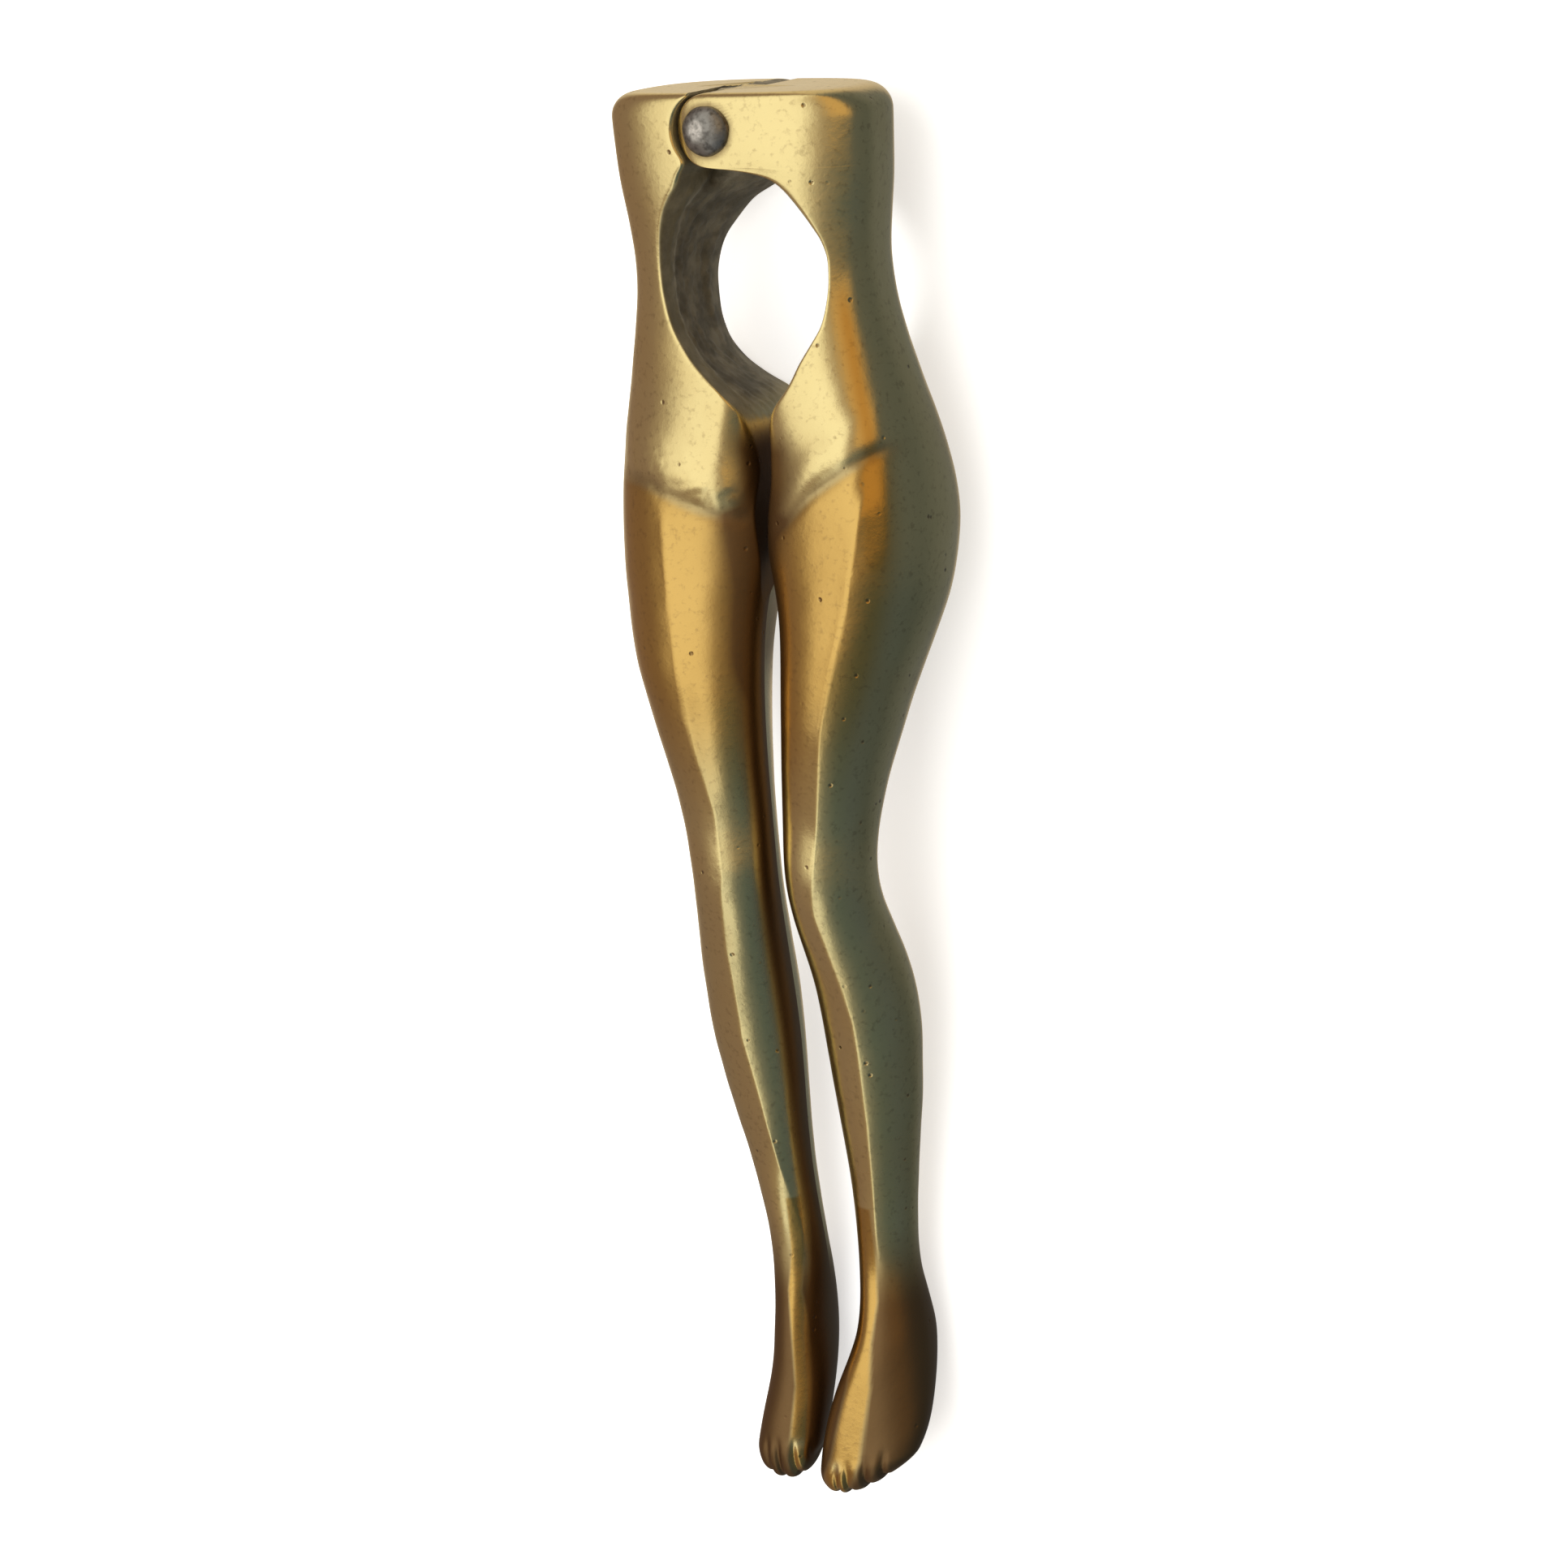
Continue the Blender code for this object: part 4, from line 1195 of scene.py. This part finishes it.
@dataclass(frozen=True)
class CastBrass:
    """Cast brass, with painted warm reflections, darker brown in the groin's crease, painted shade beside the
    gap and round the rivet, dirt on the feet and in its pits, and dark grey inside the hollow.
    """

    name: str
    colour: Colour = (0.85, 0.68, 0.33)
    reflection_and_mottle_colour: Colour = (0.66, 0.39, 0.10)
    shade_and_dirt_colour: Colour = (0.22, 0.125, 0.055)
    hollow_colour: Colour = (0.29, 0.245, 0.165)
    hollow_shade: float = 0.55
    lip_highlight_colour: Colour = (0.62, 0.57, 0.45)
    mottling: float = 0.35
    shade_and_dirt_cover: float = 0.97
    crease_dullness: float = 0.22
    lip_cover: float = 0.7
    lining_cover: float = 0.5
    patch_scale: float = 420.0

    def outer_colour(self, sheet: NodeSheet, mottle: object, grime: object) -> NodeOutput:
        """Mixes the colour of everything but the hollow.

        Args:
            sheet: The material's sheet.
            mottle: Mask of the warm mottling.
            grime: Mask of the dirt in the pits.

        Returns:
            The colour.
        """
        # the brass with its painted warm reflections
        with_painted_light = sheet.mix(sheet.attribute("painted_reflection"), self.colour, self.reflection_and_mottle_colour)
        mottled = sheet.mix(sheet.times(mottle, self.mottling), with_painted_light, self.reflection_and_mottle_colour)
        dirty = sheet.mix(grime, mottled, self.shade_and_dirt_colour)
        # the crease attribute darkens the brass: the groin's crease, painted shade, and the feet's dirt
        return sheet.mix(sheet.times(sheet.attribute("crease"), self.shade_and_dirt_cover), dirty, self.shade_and_dirt_colour)

    def lining_colour(self, sheet: NodeSheet) -> NodeOutput:
        """Mixes the colour of the hollow's lining, which is patchy, with a painted highlight in a paler line
        beside its lip.

        Args:
            sheet: The material's sheet.

        Returns:
            The colour.
        """
        patches = sheet.step(sheet.noise(sheet.place(), self.patch_scale, 4.0, 0.6), 0.35, 0.68)
        dark = tuple(self.hollow_shade * c for c in self.hollow_colour)
        lining = sheet.mix(patches, dark, self.hollow_colour)
        return sheet.mix(sheet.times(sheet.attribute("crease"), self.lip_cover), lining, self.lip_highlight_colour)

    def build(self, casting: bpy.types.NodeTree) -> bpy.types.Material:
        """Makes the material from the shared casting group.

        Args:
            casting: The node group that gives the casting's masks and relief.

        Returns:
            The material.
        """
        made, sheet, shader = node_material(self.name)
        hollow = sheet.attribute("hollow")
        group = sheet.node("ShaderNodeGroup", node_tree=casting)
        sheet.feed(group.inputs["Hollow"], hollow)
        outer = self.outer_colour(sheet, group.outputs["Mottle"], group.outputs["Grime"])
        sheet.feed(shader.inputs["Base Color"], sheet.mix(hollow, outer, self.lining_colour(sheet)))
        sheet.feed(shader.inputs["Metallic"], sheet.less(1.0, sheet.times(hollow, self.lining_cover)))
        dull = sheet.times(sheet.attribute("crease"), self.crease_dullness)
        sheet.feed(shader.inputs["Roughness"], sheet.math("ADD", group.outputs["Roughness"], dull))
        sheet.feed(shader.inputs["Normal"], group.outputs["Normal"])
        return made


@dataclass(frozen=True)
class HammeredSteel:
    """Dull steel, with a painted highlight on the facet where the hammer struck it."""

    name: str
    colour: Colour = (0.30, 0.28, 0.26)
    dark_colour: Colour = (0.11, 0.10, 0.09)
    facet_highlight_colour: Colour = (0.74, 0.69, 0.65)
    metallic: float = 0.9
    roughness: float = 0.42
    spot_scale: float = 1400.0
    grain_scale: float = 2500.0

    def build(self) -> bpy.types.Material:
        """Makes the material.

        Returns:
            The material.
        """
        made, sheet, shader = node_material(self.name)
        place = sheet.place()
        spots = sheet.step(sheet.noise(place, self.spot_scale, 4.0, 0.6), 0.4, 0.7)
        skin = sheet.mix(spots, self.colour, self.dark_colour)
        with_painted_light = sheet.mix(spots, self.facet_highlight_colour, self.colour)
        # the struck facet is painted paler: a painted highlight
        sheet.feed(shader.inputs["Base Color"], sheet.mix(sheet.attribute("struck"), skin, with_painted_light))
        shader.inputs["Metallic"].default_value = self.metallic
        shader.inputs["Roughness"].default_value = self.roughness
        sheet.feed(shader.inputs["Normal"], sheet.bump(0.4, sheet.noise(place, self.grain_scale, 4.0)))
        return made


@dataclass(frozen=True)
class CastingSkin:
    """The node group that both levers' brass shares: pits, mottling, grime and the relief of the casting."""

    pit_scale: float = 800.0
    mottle_scale: float = 90.0
    grain_scale: float = 1800.0
    wave_scale: float = 260.0
    coarse_scale: float = 900.0
    relief: float = 0.5

    def build(self) -> bpy.types.NodeTree:
        """Makes the group.

        Returns:
            The group, with masks, roughness and normal as its outputs.
        """
        tree = bpy.data.node_groups.new("casting_surface", "ShaderNodeTree")
        tree.interface.new_socket("Hollow", in_out="INPUT", socket_type=Socket.FLOAT.value)
        for name in ("Mottle", "Grime", "Roughness"):
            tree.interface.new_socket(name, in_out="OUTPUT", socket_type=Socket.FLOAT.value)
        tree.interface.new_socket("Normal", in_out="OUTPUT", socket_type=Socket.VECTOR.value)
        sheet = NodeSheet(tree)
        inside = sheet.node("NodeGroupInput").outputs["Hollow"]
        place = sheet.place()
        broad = sheet.noise(place, self.mottle_scale, 3.0, 0.55)
        fine = sheet.noise(place, self.grain_scale, 3.0, 0.6)
        cells = sheet.node("ShaderNodeTexVoronoi", {"Vector": place, "Scale": self.pit_scale}, feature="F1")
        picked = sheet.step(cells.outputs["Color"], 0.74, 0.8)
        pits = sheet.times(sheet.less(1.0, sheet.step(cells.outputs["Distance"], 0.05, 0.2)), picked)
        grains = sheet.times(sheet.step(fine, 0.52, 0.75), 0.3)
        rough = sheet.math("ADD", sheet.times(broad, 0.18), 0.15)
        waves = sheet.less(sheet.times(sheet.noise(place, self.wave_scale, 3.0), 0.6), sheet.times(pits, 1.2))
        relief = sheet.math("ADD", waves, sheet.times(fine, 0.28))
        coarse = sheet.times(sheet.noise(place, self.coarse_scale, 5.0, 0.7), sheet.times(inside, 1.5))
        results = {
            "Mottle": sheet.times(sheet.step(broad, 0.45, 0.75), 0.45),
            "Grime": sheet.math("ADD", sheet.times(pits, 0.75), grains, True),
            "Roughness": sheet.math("ADD", rough, sheet.times(inside, 0.4)),
            "Normal": sheet.bump(self.relief, sheet.math("ADD", relief, coarse)),
        }
        sheet.node("NodeGroupOutput", results)
        return tree


# ---------------------------------------------------------------------------------------------------------
# The pieces


def grid_faces(rows: int, columns: int, flipped: bool) -> list[list[int]]:
    """Lists the faces of a grid that is closed round its columns, with one face across each end.

    Args:
        rows: How many rows the grid has.
        columns: How many points a row has.
        flipped: True to turn every face over.

    Returns:
        The faces, as lists of point numbers.
    """
    grid = np.arange(rows * columns).reshape(rows, columns)
    here = grid[:-1]
    below = grid[1:]
    quads = np.stack([here, np.roll(here, -1, 1), np.roll(below, -1, 1), below], axis=-1).reshape(-1, 4)
    faces = [*quads.tolist(), grid[0, ::-1].tolist(), grid[-1].tolist()]
    return [face[::-1] for face in faces] if flipped else faces


def mesh_object(name: str, points: Array, faces: list[list[int]]) -> bpy.types.Object:
    """Makes a smooth-shaded object at the origin.

    Args:
        name: The object's name.
        points: Its points, in metres.
        faces: Its faces, as lists of point numbers.

    Returns:
        The object.
    """
    mesh = bpy.data.meshes.new(name)
    mesh.from_pydata(points.tolist(), [], faces)
    mesh.shade_smooth()
    made = bpy.data.objects.new(name, mesh)
    bpy.context.scene.collection.objects.link(made)
    return made


def skin_object(
    node: str, body: str, grid: Array, flipped: bool, painted: dict[str, Array]
) -> bpy.types.Object:
    """Makes the skin that stands for a CAD node, from a grid of points in mm of the drawing.

    Args:
        node: The CAD node.
        body: The body that it rides on.
        grid: The points, in rows that close round.
        flipped: True to turn every face over.
        painted: Values for each point, by name.

    Returns:
        The skin's object.
    """
    rows, columns = grid.shape[:2]
    points = (grid.reshape(-1, 3) - np.array(DRAWING_CENTRE)) * MM
    made = mesh_object(node + "_skin", points, grid_faces(rows, columns, flipped))
    for name, values in painted.items():
        attribute = made.data.attributes.new(name, "FLOAT", "POINT")
        attribute.data.foreach_set("value", values.astype(np.float32).ravel())
    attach(made, body)
    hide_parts(node)
    LOG.info("%s: %d rows of %d points", made.name, rows, columns)
    return made


@dataclass(frozen=True)
class Lever:
    """One lever of the tool: a leg with its half of the waist.

    Attributes:
        node: The CAD node that it stands for.
        body: The body that it rides on.
        shape: Its shape.
    """

    node: str
    body: str
    shape: LeverShape

    def build(self, finish: bpy.types.Material) -> bpy.types.Object:
        """Builds and dresses the lever.

        Args:
            finish: The brass that it is cast in.

        Returns:
            The lever's object.
        """
        surface = LeverSurface(self.shape).build()
        painted = {name: getattr(surface, name) for name in ("hollow", "crease", "painted_reflection")}
        made = skin_object(self.node, self.body, surface.points, self.shape.side is Side.RIGHT, painted)
        made.data.materials.append(finish)
        return made


@dataclass(frozen=True)
class Rivet:
    """The rivet: a hammered dome in front, a shank through both ears and a lower dome behind."""

    head_radius: float = 2.1
    head_height: float = 1.25
    head_fullness: float = 0.9
    front_z: float = 18.2
    back_z: float = 3.3
    tail_radius: float = 1.9
    tail_height: float = 0.7
    tail_fullness: float = 0.8
    shank_radius: float = 1.45
    dome_steps: int = 26
    turn_steps: int = 96
    facet_height: float = 0.86
    facet_slopes: Span = (0.12, -0.05)
    facet_middle: Span = (-0.55, 0.1)
    facet_softness: float = 0.05

    def profile(self) -> tuple[Array, Array]:
        """Draws the side of the rivet from front to back: a quarter round for each head, and the shank.

        Returns:
            Radii and heights, each as one column.
        """
        swing = np.linspace(math.pi / 2, 0, self.dome_steps)
        head_r = self.head_radius * np.cos(swing)
        head_z = self.front_z + self.head_height * np.sin(swing) ** self.head_fullness
        tail_r = self.tail_radius * np.cos(swing[::-1])
        tail_z = self.back_z - self.tail_height * np.sin(swing[::-1]) ** self.tail_fullness
        radius = np.concatenate([head_r[1:], [self.shank_radius, self.shank_radius], tail_r[:-1]])
        height = np.concatenate([head_z[1:], [self.front_z, self.back_z], tail_z[:-1]])
        return radius[:, None], height[:, None]

    def struck(self, x: Array, y: Array, z: Array) -> Array:
        """Cuts the front dome by a slightly tilted facet, off centre, where the hammer struck it.

        Args:
            x: Sideways places from the rivet's axis.
            y: Lengthways places from it.
            z: Heights.

        Returns:
            The heights after the blow.
        """
        middle_x, middle_y = self.facet_middle
        slope_x, slope_y = self.facet_slopes
        facet = self.front_z + self.head_height * self.facet_height
        facet = facet + slope_x * (x - middle_x) + slope_y * (y - middle_y)
        soft = self.facet_softness
        cut = facet - soft * np.log1p(np.exp(np.clip((facet - z) / soft, -40, 40)))
        return np.where(z > self.front_z + 0.05, np.minimum(z, cut + soft * 0.2), z)

    def build(self, finish: bpy.types.Material) -> bpy.types.Object:
        """Builds and dresses the rivet: its profile, turned unevenly about the hinge's axis, then struck.

        Args:
            finish: The steel that it is made of.

        Returns:
            The rivet's object.
        """
        radius, height = self.profile()
        turn = np.linspace(0, 2 * math.pi, self.turn_steps + 1)[:-1]
        uneven = 1 + 0.012 * np.sin(3 * turn + 0.6) + 0.008 * np.sin(7 * turn)
        x = radius * np.cos(turn) * uneven
        y = radius * np.sin(turn) * uneven
        plain = np.broadcast_to(height, x.shape)
        z = self.struck(x, y, plain)
        grid = np.stack([x + WAIST.rivet_x, y + WAIST.rivet_y, z], axis=-1)
        # struck marks the facet, where the steel gets its painted highlight
        made = skin_object("rivet", "right_half", grid, True, {"struck": smoothstep(0.02, 0.1, plain - z)})
        made.data.materials.append(finish)
        return made


# ---------------------------------------------------------------------------------------------------------
# The studio


@dataclass(frozen=True)
class CameraPlace:
    """Where the camera stands, as turned round a target on the tool. Angles in degrees, lengths in metres.

    Attributes:
        azimuth: Turn to the figure's left.
        elevation: Turn towards the waist.
        roll: Turn about its own axis.
        distance: From the target.
        target: What it looks at.
        width_shown: How much of the tool's plane the view takes in.
        sensor: The sensor's width in mm.
        clip: Nearest and furthest place that it sees.
    """

    azimuth: float = 27.0
    elevation: float = 13.0
    roll: float = 3.0
    distance: float = 0.400
    target: tuple[float, float, float] = (-0.0023, 0.0025, 0.0088)
    width_shown: float = 0.13756
    sensor: float = 36.0
    clip: Span = (0.01, 10.0)


@dataclass(frozen=True)
class Studio:
    """The floor, the light and the camera.

    The sky changes with the direction across the tool, told by a share of a whole turn: sky holds its colours
    towards the waist, and low_sky those towards the toes. glow is a warm wall on the figure's left.
    """

    floor_half: float = 1.5
    floor_glow: float = 0.6
    lamp_size: float = 0.9
    lamp_energy: float = 7.0
    lamp_spot: tuple[float, float, float] = (-0.1, 0.1, 1.0)
    low_sky_ends: Span = (-0.38, -0.23)
    glow: Colour = (0.66, 0.46, 0.22)
    glow_starts: Span = (-0.13, -0.02)
    glow_rise: Span = (0.55, 0.60)
    glow_fall: Span = (0.67, 0.73)
    sky: Stops = (
        (0.000, (0.13, 0.15, 0.17)),
        (0.040, (0.60, 0.52, 0.40)),
        (0.090, (0.75, 0.66, 0.50)),
        (0.160, (0.26, 0.19, 0.15)),
        (0.300, (0.25, 0.19, 0.17)),
        (0.345, (0.36, 0.30, 0.24)),
        (0.380, (1.00, 0.98, 0.88)),
        (0.420, (1.14, 1.16, 1.08)),
        (0.505, (1.18, 1.20, 1.12)),
        (0.540, (0.52, 0.45, 0.36)),
        (0.575, (0.28, 0.25, 0.21)),
        (0.640, (0.16, 0.16, 0.15)),
        (0.730, (0.11, 0.13, 0.15)),
        (0.860, (0.10, 0.12, 0.14)),
        (0.960, (0.16, 0.18, 0.20)),
    )
    low_sky: Stops = (
        (0.000, (0.12, 0.14, 0.16)),
        (0.060, (0.30, 0.26, 0.20)),
        (0.160, (0.22, 0.17, 0.14)),
        (0.300, (0.24, 0.18, 0.16)),
        (0.400, (0.30, 0.23, 0.18)),
        (0.450, (0.36, 0.30, 0.22)),
        (0.478, (0.95, 0.98, 0.95)),
        (0.505, (1.00, 1.05, 1.05)),
        (0.528, (0.34, 0.36, 0.34)),
        (0.560, (0.15, 0.18, 0.20)),
        (0.640, (0.09, 0.13, 0.16)),
        (0.760, (0.08, 0.11, 0.15)),
        (0.860, (0.07, 0.09, 0.11)),
        (0.960, (0.13, 0.15, 0.17)),
    )

    def build(self) -> None:
        """Makes everything that isn't the tool."""
        self.floor()
        self.surroundings()
        self.lamp()
        self.camera(CameraPlace())
        bpy.context.scene.view_settings.view_transform = "Standard"
        bpy.context.scene.view_settings.look = "None"

    def floor(self) -> None:
        """Lays a pale floor under the tool."""
        half = self.floor_half
        corners = np.array([(-half, -half, 0), (half, -half, 0), (half, half, 0), (-half, half, 0)])
        made = mesh_object("floor", corners, [[0, 1, 2, 3]])
        made.visible_glossy = False
        paint, _, shader = node_material("pale_floor")
        shader.inputs["Base Color"].default_value = (0.86, 0.86, 0.86, 1)
        shader.inputs["Roughness"].default_value = 0.9
        shader.inputs["Specular IOR Level"].default_value = 0.0
        shader.inputs["Emission Color"].default_value = (1, 1, 1, 1)
        shader.inputs["Emission Strength"].default_value = self.floor_glow
        made.data.materials.append(paint)

    def surroundings(self) -> None:
        """Colours the sky: one bright window, darker walls, and a warm glow on one side."""
        world = bpy.data.worlds.new("studio")
        world.use_nodes = True
        bpy.context.scene.world = world
        sheet = NodeSheet(world.node_tree)
        direction = sheet.node("ShaderNodeTexCoord").outputs["Generated"]
        parts = sheet.node("ShaderNodeSeparateXYZ", {0: direction})
        turn = sheet.math("ARCTAN2", parts.outputs["X"], parts.outputs["Z"])
        share = sheet.math("ADD", sheet.math("DIVIDE", turn, 2 * math.pi), 0.5)
        lowness = sheet.less(1.0, sheet.step(parts.outputs["Y"], *self.low_sky_ends))
        colour = sheet.mix(lowness, sheet.ramp(share, self.sky), sheet.ramp(share, self.low_sky))
        above = sheet.step(parts.outputs["Y"], *self.glow_starts)
        not_past = sheet.less(1.0, sheet.step(share, *self.glow_fall))
        beside = sheet.times(sheet.step(share, *self.glow_rise), not_past)
        colour = sheet.mix(sheet.times(above, beside), colour, self.glow)
        background = world.node_tree.nodes["Background"]
        sheet.feed(background.inputs["Color"], colour)
        background.inputs["Strength"].default_value = 1.0

    def lamp(self) -> None:
        """Hangs a large soft lamp overhead."""
        light = bpy.data.lights.new("overhead", "AREA")
        light.size = self.lamp_size
        light.energy = self.lamp_energy
        made = bpy.data.objects.new("overhead", light)
        made.location = self.lamp_spot
        made.rotation_euler = Vector(self.lamp_spot).to_track_quat("Z", "Y").to_euler()
        made.visible_glossy = False
        bpy.context.scene.collection.objects.link(made)

    def camera(self, place: CameraPlace) -> None:
        """Stands the camera up.

        Args:
            place: Where it stands and what it takes in.
        """
        azimuth, elevation, roll = (math.radians(a) for a in (place.azimuth, place.elevation, place.roll))
        across = math.cos(elevation)
        back = Vector((math.sin(azimuth) * across, math.sin(elevation), math.cos(azimuth) * across))
        level = Vector((0, 1, 0))
        up = (level - back * level.dot(back)).normalized()
        right = up.cross(back)
        rolled_right = right * math.cos(roll) - up * math.sin(roll)
        rolled_up = up * math.cos(roll) + right * math.sin(roll)
        data = bpy.data.cameras.new("camera")
        data.sensor_width = place.sensor
        data.lens = place.distance / place.width_shown * place.sensor
        data.clip_start, data.clip_end = place.clip
        made = bpy.data.objects.new("camera", data)
        spot = Vector(place.target) + back * place.distance
        turned = Matrix((rolled_right, rolled_up, back)).transposed().to_4x4()
        made.matrix_world = Matrix.Translation(spot) @ turned
        bpy.context.scene.collection.objects.link(made)
        bpy.context.scene.camera = made


def main() -> None:
    """Builds the levers, the rivet and the studio."""
    logging.basicConfig(level=logging.INFO)
    casting = CastingSkin().build()
    Lever("right_lever", "right_half", RIGHT_SHAPE).build(CastBrass("right_brass").build(casting))
    Lever("left_lever", "left_half", LEFT_SHAPE).build(CastBrass("left_brass").build(casting))
    Rivet().build(HammeredSteel("rivet_steel_look").build())
    Studio().build()


if __name__ == "__main__":
    main()
